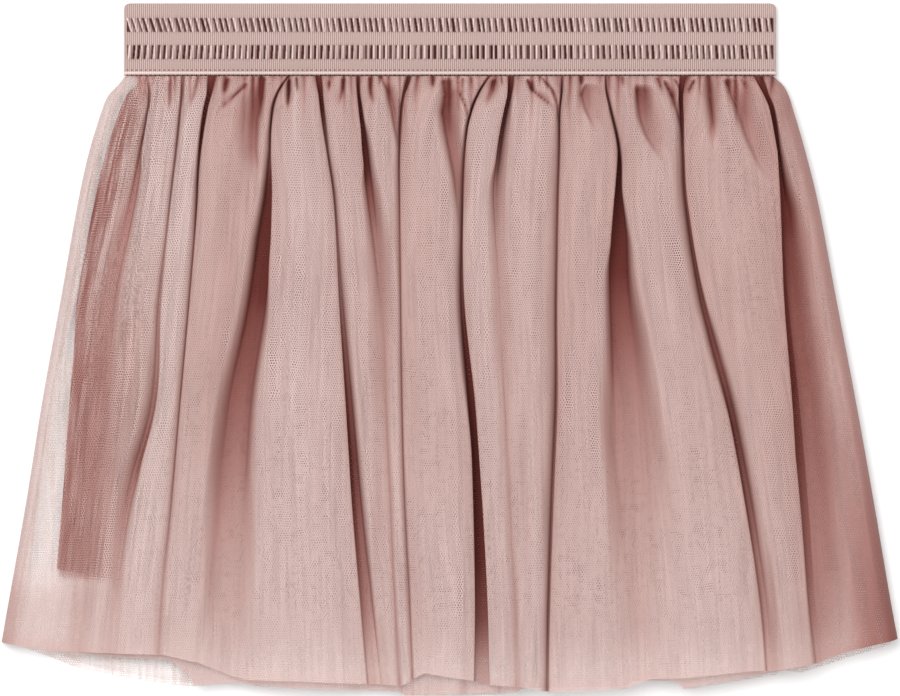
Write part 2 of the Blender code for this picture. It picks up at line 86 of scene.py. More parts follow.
# Valleys between the large folds. Places across are given at the stations; how
# far the cloth takes to rise on the left and the right, the flat bottom's width
# and the depth are given at the levels.
STATIONS = (0, 5.9, 12.6, 27.4, 45.9, 82.9, 119.9, 156.9, 193.9, 225.3)
LEVELS = (5.9, 27.4, 60, 140, 225.3)
VALLEYS = table(
    "places left right floor depth",
    ((-111.7, -110.8, -111, -113.5, -116.9, -125, -129.5, -131.4, -135.1, -138.8),
     (1.2, 3.5, 6, 9, 10), (1, 1.2, 4, 7, 8), (0.6, 1.2, 2.6, 3, 0), (0.9, 0.9, 0.85, 0.75, 0.15)),
    ((-98.8, -98.8, -99.3, -100.8, -102.9, -106.9, -108.9, -118.4, -123.6, -126.5),
     (1.2, 1.5, 2.5, 5, 8), (0.8, 0.8, 0.8, 1.2, 8),
     (0.3, 0.3, 0.2, 2.5, 0), (0.75, 0.45, 0.28, 0.75, 0)),
    ((-87.8, -88.5, -90, -92, -92.9, -95.9, -99.2, -102.5, -106.2, -108),
     (1.2, 1.5, 3, 3.5, 3), (0.8, 0.8, 0.8, 1, 3),
     (2.2, 0.8, 0.2, 0, 0), (1, 0.95, 0.4, 0.32, 0.1)),
    ((-59.6, -63.3, -65.3, -66, -66.8, -70.8, -77.2, -80, -82, -83.5),
     (0.9, 2.5, 3, 6, 12), (0.8, 1, 1, 4, 12), (0.4, 0.4, 5.6, 9, 4), (0.85, 0.6, 1, 0.72, 0.25)),
    ((-48.5, -47.7, -47, -45.2, -42.6, -40.2, -37.4, -34.6, -30.9, -27.7),
     (1, 0.8, 0.8, 0.8, 1), (1, 1.8, 2.5, 3, 5),
     (1.8, 0.4, 0.4, 3.2, 5), (1, 0.52, 0.36, 0.82, 0.42)),
    ((-34, -33.7, -32.9, -31.6, -29.2, -25.2, -23.7, -22.2, -20.4, -18.5),
     (0.8, 0.8, 4, 8, 8), (0.8, 2.5, 6, 8, 8), (0.8, 2.6, 1.5, 0, 0), (1, 0.95, 0.5, 0.08, 0)),
    ((-15, -16.5, -17.6, -18.5, -18.5, -18.1, -17.6, -16.6, -14.8, -13.6),
     (2, 2, 4, 5, 5), (0.8, 0.8, 0.8, 0.8, 1.5),
     (1.2, 0.3, 0, 0, 0), (0.95, 0.45, 0.22, 0.22, 0.15)),
    ((14.4, 10.7, 8, 5.7, 4.9, 4.8, 8.1, 10.2, 11.5, 11.7),
     (0.8, 3, 3.5, 1.2, 1), (0.8, 0.8, 0.8, 0.8, 1),
     (0.4, 0.5, 0.4, 3.9, 5.6), (0.95, 0.7, 0.6, 1, 0.5)),
    ((22.6, 22, 20.3, 17.8, 16.4, 18.5, 20.4, 22.2, 24.1, 24.8),
     (0.8, 0.8, 4, 8, 8), (1.5, 4, 6, 8, 8), (1.8, 1.5, 0, 0, 0), (0.95, 0.75, 0.2, 0.06, 0)),
    ((41.4, 41.2, 40.7, 40.4, 39.8, 39.2, 39.2, 37.7, 36.4, 35.9),
     (1.5, 3, 4, 4, 3), (0.8, 0.8, 0.8, 0.8, 1),
     (0.4, 0.3, 0.2, 0.8, 0.5), (0.8, 0.48, 0.4, 0.55, 0.4)),
    ((57.4, 57.7, 59.2, 62.2, 61.8, 62.5, 64.8, 67.3, 68.8, 70.3),
     (0.8, 1, 1.2, 7, 12), (0.8, 1, 2, 12, 12), (0.3, 0.6, 6.6, 9, 0), (0.8, 0.9, 1, 0.6, 0.15)),
    ((86, 85.2, 85.6, 86, 87, 93, 102.5, 109.6, 115.2, 117.9),
     (1.5, 4, 4, 0.8, 1), (0.8, 0.8, 0.8, 3.5, 6),
     (1.8, 0.5, 1, 2.6, 2), (1, 0.6, 0.65, 0.62, 0.22)),
    ((113.5, 116, 118.6, 120.6, 122.3, 124.8, 128.8, 132, 134.6, 137.8),
     (0.8, 0.8, 0.8, 0.8, 2), (1, 2, 9, 14, 12), (2.5, 1.5, 3.4, 8, 4), (1, 1, 0.95, 0.9, 0.35)),
)

# Folds from left to right: height, how closely the net lies in them, and how much
# painted shade darkens them above and at the hem
FOLDS = table(
    "height dense tone low",
    (4.5, -0.3, 0, 0.16), (6.5, 0.45, 0.08, 0.05), (7, 0.9, -0.05, 0),
    (9, 0.95, 0.32, 0.08), (10.5, 1, 0.06, 0.03), (8, 0.9, 0.18, 0.12),
    (8.5, 0.9, 0.17, 0.08), (10, 1, 0.2, 0.08), (9.5, 1, 0.08, 0.08),
    (10, 1, 0.15, 0.1), (10, 1, 0.22, 0.12), (11, 1, 0.18, 0.06),
    (10.5, 1, 0.23, 0.16), (6, 0.7, 0.38, 0.42),
)

# Pits that the gathering seam pinches into the net, some of them long: a path of
# (across, drop) points, how far the cloth takes to rise on the left and the
# right, the flat bottom's width, and the depth
PITS = table(
    "path left right floor depth",
    (((-112.3, 0.7), (-112.3, 5.9), (-111, 10.4)), 1.2, 0.8, 1.5, 0.75),
    (((-103, 0), (-103.2, 5.2), (-103.2, 12.6)), 1.2, 1, 1, 0.9),
    (((-92.9, 0), (-94, 4.4), (-95.5, 10)), 1.5, 0.8, 0.8, 0.9),
    (((-88.4, 0), (-88.1, 4.4), (-88.4, 8.9)), 0.8, 0.5, 2.5, 0.8),
    (((-74.4, 2.2), (-78.4, 6.3), (-82.1, 10), (-85.1, 13)), 1.2, 1.2, 0.3, 0.8),
    (((-81.8, 0.7), (-82.5, 5.2)), 0.8, 0.8, 1.2, 1),
    (((-68.5, 0.4), (-69.6, 8.1), (-71.4, 16.3), (-71.8, 27.4), (-70.3, 40.3)),
     3, 1.2, 1.5, 0.95),
    (((-59.2, 1.1), (-59.2, 5.9), (-59.6, 11.1)), 0.9, 0.9, 0.8, 1),
    (((-56.6, 0.4), (-56.2, 4.8)), 0.6, 0.8, 0.4, 0.9),
    (((-44.4, 1.5), (-44, 4)), 0.8, 0.6, 0.5, 0.7),
    (((-39.2, 0.7), (-39.6, 5.2), (-40.7, 10.4)), 1.6, 0.7, 0.6, 0.9),
    (((-29.6, 0.4), (-29.2, 5.2), (-28.1, 9.6)), 0.7, 1.3, 0.6, 0.85),
    (((-25.5, 0), (-22.9, 5.2), (-21.1, 12.6), (-19.6, 21.8), (-18.9, 27)),
     0.9, 2, 1.5, 0.85),
    (((-14.8, 0.7), (-14.4, 8.9)), 0.7, 0.7, 0.2, 0.5),
    (((-18.5, 0), (-18.5, 12.6)), 0.8, 0.6, 0.3, 0.5),
    (((-6.3, 0.2), (-6.3, 2.8)), 0.8, 0.8, 1.4, 1),
    (((-2.2, 1.1), (-1.5, 7), (-2.6, 13.3), (-1.5, 20), (0, 27.4), (2, 38),
     (3.7, 57)),
     1.2, 2.6, 1.5, 0.95),
    (((2.6, 4.4), (5.2, 10.7), (7, 18.1)), 0.6, 0.8, 0.2, 0.7),
    (((4.8, 0.7), (4.4, 5.9)), 0.8, 0.8, 0.8, 0.8),
    (((7.8, 0.4), (8.1, 5.2)), 0.8, 0.8, 0.4, 0.6),
    (((16.3, 1.1), (15.5, 5.2), (13.3, 10.4)), 1.8, 0.8, 1.6, 0.9),
    (((18.9, 0.2), (18.9, 2.2)), 0.6, 0.6, 0.6, 0.7),
    (((28.5, 1.1), (30.3, 5.2), (35.2, 9.3), (38.1, 11.8)), 0.8, 1.6, 1, 0.9),
    (((33.7, 0.4), (37.4, 5.2), (39.6, 11.8), (40.3, 18.1)), 0.6, 1, 0.4, 0.7),
    (((48.5, 0.2), (48.5, 1.9)), 0.6, 0.6, 1, 0.9),
    (((50.3, 2.6), (48.8, 7), (50.3, 12.6), (53.3, 19.2)), 0.8, 4, 1.5, 0.75),
    (((63.6, 0.2), (63.6, 2.2)), 0.7, 0.7, 1.3, 0.9),
    (((68.5, 3), (68.8, 8.9), (69.9, 15.5), (72.2, 21.8), (75.5, 27.4), (79.2, 31.8)),
     0.9, 5, 0.8, 0.85),
    (((78.8, 1.5), (81, 7), (83.6, 12.6), (85.5, 20)), 0.8, 1.5, 1, 0.8),
    (((76.2, 0.4), (78.1, 5.2)), 0.8, 0.6, 0.4, 0.7),
    (((82.5, 1.1), (84.4, 4.4)), 0.6, 0.6, 0.8, 0.9),
    (((90.3, 1.1), (88.8, 5.2)), 0.7, 0.7, 0.6, 1),
    (((95.5, 0), (95.8, 7), (96.6, 16.3), (96.6, 27.4)), 1.5, 1.5, 0.8, 0.95),
    (((101.4, 1.1), (103.6, 7), (105.8, 13.3), (108.4, 20), (111, 26.6),
     (114, 33.7), (118.4, 39.6)),
     0.9, 4, 1.2, 0.8),
    (((106.6, 0.4), (108.8, 3.7)), 0.8, 0.8, 0.4, 0.5),
)

# Long soft creases on the folds: start and end across, start and end drop, half
# width, and depth (less than nothing is a ridge)
CREASES = table(
    "start end top bottom half depth",
    (-107, -113, 60, 150, 3, 0.8), (-120, -129, 95, 190, 2.5, 0.9),
    (-97.5, -101.5, 20, 90, 2, 0.9), (-84, -90, 60, 150, 4, -0.9),
    (-80, -88, 120, 205, 3, 1.1), (-56, -54, 20, 120, 3, -0.7),
    (-50, -45, 70, 190, 2.5, 0.8), (-62, -60, 110, 215, 3.5, -0.9),
    (-26, -23.5, 140, 215, 3, 1.9), (-32, -29, 50, 110, 2.5, -0.8),
    (-11, -8, 70, 200, 3, -0.8), (-14, -9, 180, 222, 4, 1.4),
    (0, 4, 60, 210, 3, -0.7), (13, 15, 30, 110, 2.5, -0.8),
    (30, 31.5, 50, 190, 3.5, -1), (24, 28, 90, 220, 2.5, 0.8),
    (46, 52, 40, 120, 3, -0.8), (50, 58, 95, 135, 5, 1.5),
    (72, 80, 50, 150, 3.5, -0.9), (84, 93, 120, 215, 4, -1.2),
    (76, 84, 130, 220, 2.5, 0.9), (104, 108, 55, 120, 3, -1),
    (112, 120, 110, 210, 2.5, 0.9), (140, 151, 80, 200, 2, 0.5),
)

# Hems from left to right
FRONT_HEM = table(
    "across drop",
    (-165.6, 208.7), (-148, 211.8), (-129.5, 212.4), (-105.5, 213.2), (-92.5, 216.1),
    (-80.7, 220.9), (-74, 222.4), (-55.5, 222.7), (-31.5, 223.8), (-17.8, 224.5),
    (-9.2, 219.8), (6.7, 222.4), (14.8, 224), (26.3, 225), (37, 226.8),
    (55.5, 226.1), (66.6, 225), (74, 222), (85.1, 221.6), (111, 219),
    (120.3, 219), (136.2, 216.1), (148, 211.6), (165.4, 207.5),
)
UNDER_HEM = table(
    "across drop",
    (-162, 209.4), (-144.3, 213.1), (-105.5, 215), (-97.7, 220.5), (-96.2, 224.4),
    (-81.4, 223.5), (-74, 224.2), (-55.5, 225.7), (-18.5, 226.4), (-17, 228.3),
    (7.4, 227.5), (25.5, 226.8), (27, 225.6), (66.6, 224.8), (67.5, 222.7),
    (85.1, 222.7), (86.2, 225.6), (111, 221.6), (136.2, 217), (162, 209),
)
BACK_HEM = table(
    "across drop",
    (-165.6, 208.7), (-157.3, 210.9), (-148, 214.2), (-138.8, 217.9), (-129.5, 220.2),
    (-111, 223.5), (-96.2, 225.3), (-81.4, 224), (-80.7, 221), (-75.9, 221.6),
    (-74, 224.4), (-69.6, 225.3), (-40.7, 226.4), (-18.5, 226.9), (-17.4, 228.5),
    (18.5, 228.3), (25.5, 226.8), (26.3, 225), (37, 227.2), (55.5, 226.4),
    (66.6, 226), (67.2, 223.4), (85.1, 222.7), (86.2, 226.4), (92.5, 225.7),
    (111, 222.4), (120.3, 220.9), (122.1, 219), (129.5, 220.2), (136.2, 218),
    (148, 214.2), (162.4, 209.8), (165.6, 205.7),
)

# Lining: how far its sides lie inside the net's, and its hem
LINING_EDGE = table(
    "drop inset",
    (0, 7), (45.9, 6.2), (82.9, 6.2),
    (101.4, 8.5), (138.4, 11.8), (185, 16),
)
LINING_SIDE_DROP = 181.7
LINING_MIDDLE_DROP = 198.5

# The lining's panels: columns and rows, height and seed of their small waves,
# and each panel's level over the floor
LINING_GRID = (120, 60)
LINING_WAVE = 0.25
LINING_SEED = 11
LININGS = table(
    "side level rests_on",
    ("front", 4.4, "lining_back"),
    ("back", 3.1, "net_under_back"),
)

# Levels of the fronts' middles over the floor, and how far the seam draws them down
UNDER_FRONT_LEVEL = 5.7
FRONT_LEVEL = 7.3
SEAM_DIP = 2.6
SEAM_DIP_FADE = 4.0

# Folds: how they start at the seam, round off, rise over a run and lean over, how far
# the painted shade beside a crisp edge spreads, and the painted shade on the last fold's outer part
FOLD_START = 7.0
SEAM_SHARE = 0.3
DOME_SHARE = 0.3
DOME_POWER = 3.0
STEEP_RUN = 3.0
SOFT_RUN = 7.0
CRISP_RUN = 1.2
FLANK_WIDTH = 2.6
OVERHANG = 1.7
NARROW_OVERHANG = 0.15
OVERHANG_PEAK = 1.6
LAST_FOLD_SHADE = 0.28

# Gathers and pits at the seam, and the cloth's small waves
GATHER_HEIGHT = 2.2
GATHER_PITCH = 4.1
GATHER_FADE = 9.0
PIT_TAIL = 2.5
PIT_EASE = 2.6
PIT_FADE = 0.7
UNEVEN = 0.22
WAVES = 9

# Sides of the fronts, and how the second net keeps inside the outer one's folds
SIDE_ROLL = 5.0
EDGE_HEIGHT = 0.8
UNDER_EDGE_HEIGHT = 2.1
UNDER_ROLL = 3.0
UNDER_INSET = 2.8
UNDER_SHARE = 0.6
UNDER_FADE = 10.0
UNDER_REACH = (-4.0, -2.0, 0.0, 2.0, 4.0)

# Grids: columns in a fold, and rows with how far they crowd to the seam
OUTER_COLUMNS = 55
OUTER_ROWS = (122, 1.5)
UNDER_COLUMNS = 18
UNDER_ROWS = (90, 1.2)
FLAT_CROWD = 1.2

# The nets' fronts: how much less the slant at the seam closes them, the net's
# turn in degrees, and the cut length in metres
OUTER_FRONT, UNDER_FRONT = table(
    "name material node rests_on ease turn length",
    ("outer_net_front", "outer_net", "net_outer_front", "net_under_front", 0.5, 0.0, 0.225),
    ("second_net_front", "second_net_front", "net_under_front", "lining_front", 0.0, 3.0, 0.226),
)

# The nets' backs: level, grid, how far inside the outline they end, the waves'
# height and seed, the net's turn in degrees, and the cut length in metres
BACKS = table(
    "name node rests_on level columns rows inset shorter wave seed turn length",
    ("outer_net_back", "net_outer_back", "net_under_back",
     0.5, 330, 120, 0.0, 0.0, 0.35, 7, -2.0, 0.228),
    ("second_net_back", "net_under_back", "net_outer_back",
     1.8, 220, 80, UNDER_INSET, 1.6, 0.3, 8, 4.0, 0.226),
)

# Waistband: its section, the elastic strips and the ladders of pleats between them
BAND_FRONT = 5.2
BAND_SIDE_ROUND = 1.2
BAND_CORNER = 1.8
BAND_WALL = 1.9
RIM_DROP = 0.45
STRIP_ONE = 5.2
LADDER = 5.5
STRIP_TWO = 4.5
PLEATS = 103
PLEAT_RISE = 0.8
SLOT_DEPTH = 1.5
LEAN_REACH = 110.0
COLUMNS_A_PLEAT = 10
BACK_COLUMNS_A_PLEAT = 4
SIDE_COLUMNS = 9
TOP_ROWS = (0.0, 0.2, 0.6, 1.2, 1.8, 3.4)
LADDER_ROWS = (0.0, 0.2, 0.45, 0.8, 1.4, 2.1, 2.75, 3.4, 4.1, 4.7, 5.05, 5.3, 5.5)
MIDDLE_ROWS = (0.9, 2.2, 3.6)
LOWER_ROWS = (1.2, 2.6, 4.2, 5.0, 5.5)
STITCH_PITCH = 1.7
STITCH_ROWS = (24.6, 26.5)
# Distance down the band of the painted highlight along the picot stitching
EDGE_LINE = 25.6
RIB_PITCH = 0.75

# Net: a hole's length in pitches, how open it is, how far the ribs take over in
# their patches, how soft a thread's edge is, and the stops of its shade
HOLE_LENGTH = 1.95
OPEN_NET = -1.95
RIBBED_MOST = 0.8
THREAD_EDGE = 0.7
SHADE_STOPS = 6

# Stage, in metres: half the floor, the camera over it, and the width it takes in
FLOOR_REACH = 3.0
CAMERA_HEIGHT = 3.2
PICTURE_WIDTH = 0.3325

# Node trees: the UV map, the mix node's colour sockets, and the nodes' spacing
CLOTH_MAP = "cloth_mm"
MIX_SHARE, MIX_FIRST, MIX_SECOND = 0, 6, 7
NODES_IN_ROW = 8
NODE_STEP = 260.0

# What every colour setting has
COLOUR = {"subtype": "COLOR", "size": 4, "min": 0.0, "max": 1.0}


class SkirtSizes(PropertyGroup):
    """Sizes that a user would change."""

    net_pitch: FloatProperty(
        name="Net pitch", description="Distance between the net's holes, in millimetres",
        default=0.88, min=0.5, max=3.0)
    overhang: FloatProperty(
        name="Overhang", description="How far a fold's edge leans over its valley, in millimetres",
        default=OVERHANG, min=0.0, max=3.0)


class SkirtColours(PropertyGroup):
    """Colours that a user would change."""

    net: FloatVectorProperty(
        name="Net", description="Thread of the net on the crests",
        default=(0.67, 0.505, 0.475, 1.0), **COLOUR)
    # Painted light: paler thread where light from the pale floor shines up through thin net
    net_lit_through: FloatVectorProperty(
        name="Thin net", description="Thread of the net where light comes through",
        default=(0.84, 0.69, 0.65, 1.0), **COLOUR)
    # Painted shade: a redder, duller thread where a fold's flank turns from the light and at cut
    # edges; partly the real closer weave seen aslant
    net_flank_shade: FloatVectorProperty(
        name="Net on the flanks", description="Thread of the net where a fold turns away",
        default=(0.53, 0.335, 0.305, 1.0), **COLOUR)
    net_deep: FloatVectorProperty(
        name="Net in the valleys", description="Share of light kept deepest between the folds",
        default=(0.2, 0.057, 0.049, 1.0), **COLOUR)
    lining: FloatVectorProperty(
        name="Lining", description="Cloth of the lining",
        default=(0.27, 0.075, 0.06, 1.0), **COLOUR)
    elastic: FloatVectorProperty(
        name="Elastic", description="Elastic strips of the waistband",
        default=(0.6, 0.45, 0.415, 1.0), **COLOUR)
    # Painted highlight on the lit edge of each small pleat and along the picot stitching
    elastic_crest_highlight: FloatVectorProperty(
        name="Pleat crests", description="Crests of the waistband's small pleats",
        default=(0.88, 0.71, 0.665, 1.0), **COLOUR)
    # Painted shade in the grooves between the elastic's ribs
    elastic_groove_shade: FloatVectorProperty(
        name="Elastic grooves", description="Grooves between the strips' ribs",
        default=(0.31, 0.2, 0.18, 1.0), **COLOUR)
    # Painted shade in the slots between the small pleats and in the stitch holes
    slot: FloatVectorProperty(
        name="Slots", description="Depth between the waistband's small pleats",
        default=(0.085, 0.014, 0.012, 1.0), **COLOUR)
    floor: FloatVectorProperty(
        name="Floor", description="Pale floor",
        default=(0.92, 0.92, 0.92, 1.0), **COLOUR)


def smooth_curve(knots, values, place):
    """Smooth curve through a table's rows at an array of places, level past its ends."""
    knots = np.asarray(knots, float)
    values = np.asarray(values, float)
    place = np.clip(place, knots[0], knots[-1])
    index = np.clip(np.searchsorted(knots, place, side="right") - 1, 0, len(knots) - 2)
    first = np.append(0, np.arange(len(knots) - 1))
    last = np.append(np.arange(1, len(knots)), len(knots) - 1)
    slopes = (values[last] - values[first]) / (knots[last] - knots[first])
    span = knots[index + 1] - knots[index]
    part = (place - knots[index]) / span
    step = part * part * (3.0 - 2.0 * part)
    curve = values[index] * (1.0 - step) + values[index + 1] * step
    lean = (part - 1.0) * slopes[index] + part * slopes[index + 1]
    return curve + (part - 1.0) * part * span * lean


def round_rise(part):
    """Quarter of an ellipse: steep at nothing, level at all."""
    part = np.clip(part, 0.0, 1.0)
    return np.sqrt(1.0 - (1.0 - part) ** 2)


def soft_rise(place, start=0.0, length=1.0):
    """Soft step from nothing at its start to all at its end."""
    part = np.clip((place - start) / length, 0.0, 1.0)
    return part * part * (3.0 - 2.0 * part)


def fold_edges(drop):
    """Places of the outline and of every valley, for an array of drops."""
    drops, lefts, rights = zip(*OUTLINE)
    valleys = [smooth_curve(STATIONS, row.places, drop) for row in VALLEYS]
    left, right = (smooth_curve(drops, side, drop) for side in (lefts, rights))
    return np.array([left] + valleys + [right])


def fold_sides(edges, fold):
    """Left and right edge of the fold at each place."""
    return [np.take_along_axis(edges, fold[None] + side, 0)[0] for side in (0, 1)]


def find_fold(edges, across):
    """Number of the fold at each place, and the share of its width."""
    fold = np.zeros(across.shape, int)
    for index in range(1, len(FOLDS)):
        fold += across >= edges[index]
    left, right = fold_sides(edges, fold)
    return fold, np.clip((across - left) / (right - left), 0.0, 1.0)


def rise_over(away, run):
    """Rise of cloth over a run: steep and rounded over a short one, soft over a long one."""
    part = away / run
    soft = soft_rise((run - STEEP_RUN) / (SOFT_RUN - STEEP_RUN))
    return round_rise(part) * (1.0 - soft) + soft_rise(part) * soft


def notch(away, left, right, floor):
    """How deep a place lies in a valley or a pit, from nothing to all."""
    beyond = np.abs(away) - 0.5 * floor
    run = np.where(away < 0.0, left, right)
    return 1.0 - rise_over(beyond, run)


def valleys_at(edges, drop):
    """Every valley's place, left run, right run, floor and depth, for an array of drops."""
    for valley, place in zip(VALLEYS, edges[1:-1]):
        yield (place, *(np.interp(drop, LEVELS, sizes) for sizes in valley[1:]))


def by_fold(spot, key):
    """A column of the folds' table, eased from the middle of each fold to the next."""
    centres = np.arange(len(FOLDS)) + 0.5
    return np.interp(spot, centres, [getattr(row, key) for row in FOLDS])


def pit_share(pit, across, drop):
    """How much of the height a pit takes away; it narrows to a point at its lower end."""
    places, drops = zip(*pit.path)
    place = np.interp(drop, drops, places)
    length = drops[-1] - drops[0] + PIT_TAIL
    part = np.clip((drop - drops[0] + PIT_TAIL) / (length + PIT_TAIL), 0.0, 1.0)
    hidden = 0.03 if drops[0] > 2.0 else 0.25
    swell = np.sqrt(np.maximum(4.0 * (hidden + (1.0 - hidden) * part) * (1.0 - part), 0.02))
    strength = soft_rise((drop - drops[0] + 0.8) / (1.2 + 0.8 * drops[0]))
    strength = strength * soft_rise((1.0 - part) / 0.35) * (1.0 - PIT_FADE * soft_rise(part))
    away = (across - place) / swell
    taken = notch(away, PIT_EASE * pit.left, PIT_EASE * pit.right, 0.5 * pit.floor)
    return pit.depth * strength * taken


def large_folds(edges, across, drop):
    """Height of the large folds, and how much shade the valleys and pits that cut them hold."""
    fold, part = find_fold(edges, across)
    height = by_fold(fold + part, "height")
    height = height * (1.0 - DOME_SHARE * np.abs(2.0 * part - 1.0) ** DOME_POWER)
    kept = np.ones(across.shape)
    lit = np.ones(across.shape)
    for place, left, right, floor, depth in valleys_at(edges, drop):
        taken = depth * notch(across - place, left, right, floor)
        kept *= 1.0 - taken
        lit *= 1.0 - taken * (0.3 + 0.7 * soft_rise(floor / 2.5))
    for pit in PITS:
        taken = pit_share(pit, across, drop)
        kept *= 1.0 - taken
        lit *= 1.0 - taken
    puff = 1.0 - (1.0 - SEAM_SHARE) * np.exp(-drop / FOLD_START)
    return height * kept * puff, 1.0 - lit


def seam_gathers(across, drop):
    """Height of the small uneven gathers under the seam, and the shade between them."""
    turn = math.pi * across / GATHER_PITCH
    turn = turn + 1.1 * np.sin(0.19 * across) + 0.6 * np.sin(0.53 * across + 1.0)
    ridge = np.abs(np.sin(turn)) ** 0.7
    size = 0.7 + 0.3 * np.sin(0.43 * across + 0.5)
    fade = 1.0 + 0.45 * np.sin(0.31 * across) + 0.3 * np.sin(0.83 * across + 2.0)
    left = size * np.exp(-(drop / (GATHER_FADE * fade)) ** 1.5)
    return GATHER_HEIGHT * ridge * left, (1.0 - ridge) ** 1.2 * left


def crease_depth(across, drop):
    """Depth of all the long soft creases."""
    depth = np.zeros(across.shape)
    for crease in CREASES:
        along = (drop - crease.top) / (crease.bottom - crease.top)
        path = crease.start + (crease.end - crease.start) * np.clip(along, 0.0, 1.0)
        strength = soft_rise((along + 0.15) / 0.4) * soft_rise((1.15 - along) / 0.4)
        depth += crease.depth * strength * np.exp(-((across - path) / crease.half) ** 2)
    return depth


def uneven(across, drop, seed):
    """Small long waves that run down the cloth, from -1 to 1."""
    draw = np.random.default_rng(seed)
    waves = np.zeros(across.shape)
    for _ in range(WAVES):
        width = draw.uniform(5.0, 16.0)
        length = draw.uniform(40.0, 110.0)
        lean = draw.uniform(-0.04, 0.04)
        phase = draw.uniform(0.0, 2.0 * math.pi, 2)
        run = np.sin(2.0 * math.pi * (across + lean * drop) / width + phase[0])
        waves += run * np.sin(2.0 * math.pi * drop / length + phase[1])
    return waves / math.sqrt(WAVES)


def crispness(run):
    """How crisp a fold's edge is: all where the cloth rises in a millimetre or so."""
    return 1.0 - soft_rise(run - CRISP_RUN)


def flank_shade(edges, across, drop):
    """Soft shade on the flank of every fold that ends in a crisp edge."""
    shade = np.zeros(across.shape)
    for place, left, right, floor, depth in valleys_at(edges, drop):
        crisp = crispness(np.where(across < place, left, right))
        beyond = np.maximum(np.abs(across - place) - 0.5 * floor, 0.0)
        shade = np.maximum(shade, depth * crisp * np.exp(-beyond / FLANK_WIDTH))
    return shade


def overhang_shift(edges, across, drop, reach):
    """Sideways shift that leans each steep fold edge over its valley."""
    shift = np.zeros(across.shape)
    for place, left, right, floor, depth in valleys_at(edges, drop):
        room = np.clip(NARROW_OVERHANG + 0.45 * floor, 0.0, reach)
        narrow = crispness(left) * crispness(right)
        size = room * narrow + reach * (1.0 - narrow)
        for side, run in ((-1.0, left), (1.0, right)):
            inside = np.maximum(side * (across - place) - 0.5 * floor, 0.0)
            hump = inside / OVERHANG_PEAK * np.exp(1.0 - inside / OVERHANG_PEAK)
            shift -= side * size * crispness(run) * depth * hump
    return shift * np.minimum(drop / FOLD_START, 1.0)


def seam_dip(drop):
    """Share of a layer's lift that the seam takes, from all at the seam to nothing."""
    return np.exp(-drop / SEAM_DIP_FADE)


def panel_columns(per_fold):
    """Fold coordinate of every column, closer together at the folds' edges."""
    step = np.arange(per_fold) / per_fold
    even = 0.5 - 0.5 * np.cos(math.pi * step)
    part = 0.5 * step + 0.5 * even
    columns = np.arange(len(FOLDS))[:, None] + part[None, :]
    return np.append(columns.ravel(), float(len(FOLDS)))


def panel_rows(count, crowd):
    """Share of the length of every row, closer together at the seam, with a narrow last one."""
    step = np.linspace(0.0, 1.0, count)
    share = step ** crowd
    share[-2] = 0.998
    return share


def place_on_fold(edges, column, drop):
    """Place across of each fold coordinate, at every drop of a grid."""
    column = np.broadcast_to(column, drop.shape)
    fold = np.minimum(column.astype(int), len(FOLDS) - 1)
    left, right = fold_sides(edges, fold)
    return left + (column - fold) * (right - left)


def hem_drop(hem, across):
    """Drop of a hem at a place across."""
    return np.interp(across, *zip(*hem))


def column_hem(hem, column):
    """Drop of a hem at each fold coordinate."""
    low = np.full((1, len(column)), LEVELS[-1])
    return hem_drop(hem, place_on_fold(fold_edges(low), column, low)[0])


def sky_view(across, height):
    """Share of the sky that each point sees over the folds beside it."""
    view = np.empty(height.shape)
    for row, (place, level) in enumerate(zip(across, height)):
        rise = level[None, :] - level[:, None]
        away = place[None, :] - place[:, None]
        slope = rise / (np.abs(away) + 0.3)
        left = np.where(away < 0.0, slope, 0.0).max(axis=1)
        right = np.where(away > 0.0, slope, 0.0).max(axis=1)
        view[row] = 1.0 - 0.5 * (left / np.hypot(1.0, left) + right / np.hypot(1.0, right))
    return view


def edge_closing(drop):
    """Closer threads in the last rows, at the cut edge."""
    closing = np.zeros(drop.shape)
    closing[-2:] = 0.35
    closing[:, :2] = 0.2
    closing[:, -2:] = 0.2
    return closing


def cloth_widths(across, height, column):
    """Width of cloth at each point: even along a row, and straight down each fold's middle."""
    steps = np.hypot(np.diff(across, axis=1), np.diff(height, axis=1))
    width = np.concatenate([np.zeros((len(across), 1)), np.cumsum(steps, axis=1)], axis=1)
    places = width.copy()
    fold = np.minimum(column.astype(int), len(FOLDS) - 1)
    for index in range(len(FOLDS)):
        middle = np.abs(column - index - 0.5).argmin()
        inside = fold == index
        places[:, inside] += width[:, middle].mean() - width[:, middle][:, None]
    return places, width[:, -1].mean()


def sheet_object(name, across, along, height, cloth, values):
    """One thin sheet from a grid, with its cloth sizes as a UV map and point values."""
    rows, columns = across.shape
    points = np.stack([across, along, height], axis=-1).reshape(-1, 3) * MM
    index = np.arange(rows * columns).reshape(rows, columns)
    corners = (index[:-1, :-1], index[1:, :-1], index[1:, 1:], index[:-1, 1:])
    faces = np.stack(corners, axis=-1).reshape(-1, 4)
    mesh = bpy.data.meshes.new(name)
    mesh.from_pydata(points.tolist(), [], faces.tolist())
    mesh.shade_smooth()
    layer = mesh.uv_layers.new(name=CLOTH_MAP)
    layer.uv.foreach_set("vector", cloth.reshape(-1, 2)[faces.ravel()].ravel())
    for key, numbers in values.items():
        attribute = mesh.attributes.new(key, "FLOAT", "POINT")
        attribute.data.foreach_set("value", numbers.astype(np.float32).ravel())
    item = bpy.data.objects.new(name, mesh)
    bpy.context.scene.collection.objects.link(item)
    return item


def facing_up(across, along, height):
    """How far each point of a grid faces straight up, from nothing to all."""
    grid = np.stack([across, along, height])
    normal = np.cross(np.gradient(grid, axis=1), np.gradient(grid, axis=2), axis=0)
    length = np.linalg.norm(normal, axis=0)
    return np.abs(normal[2]) / np.maximum(length, 1e-9)


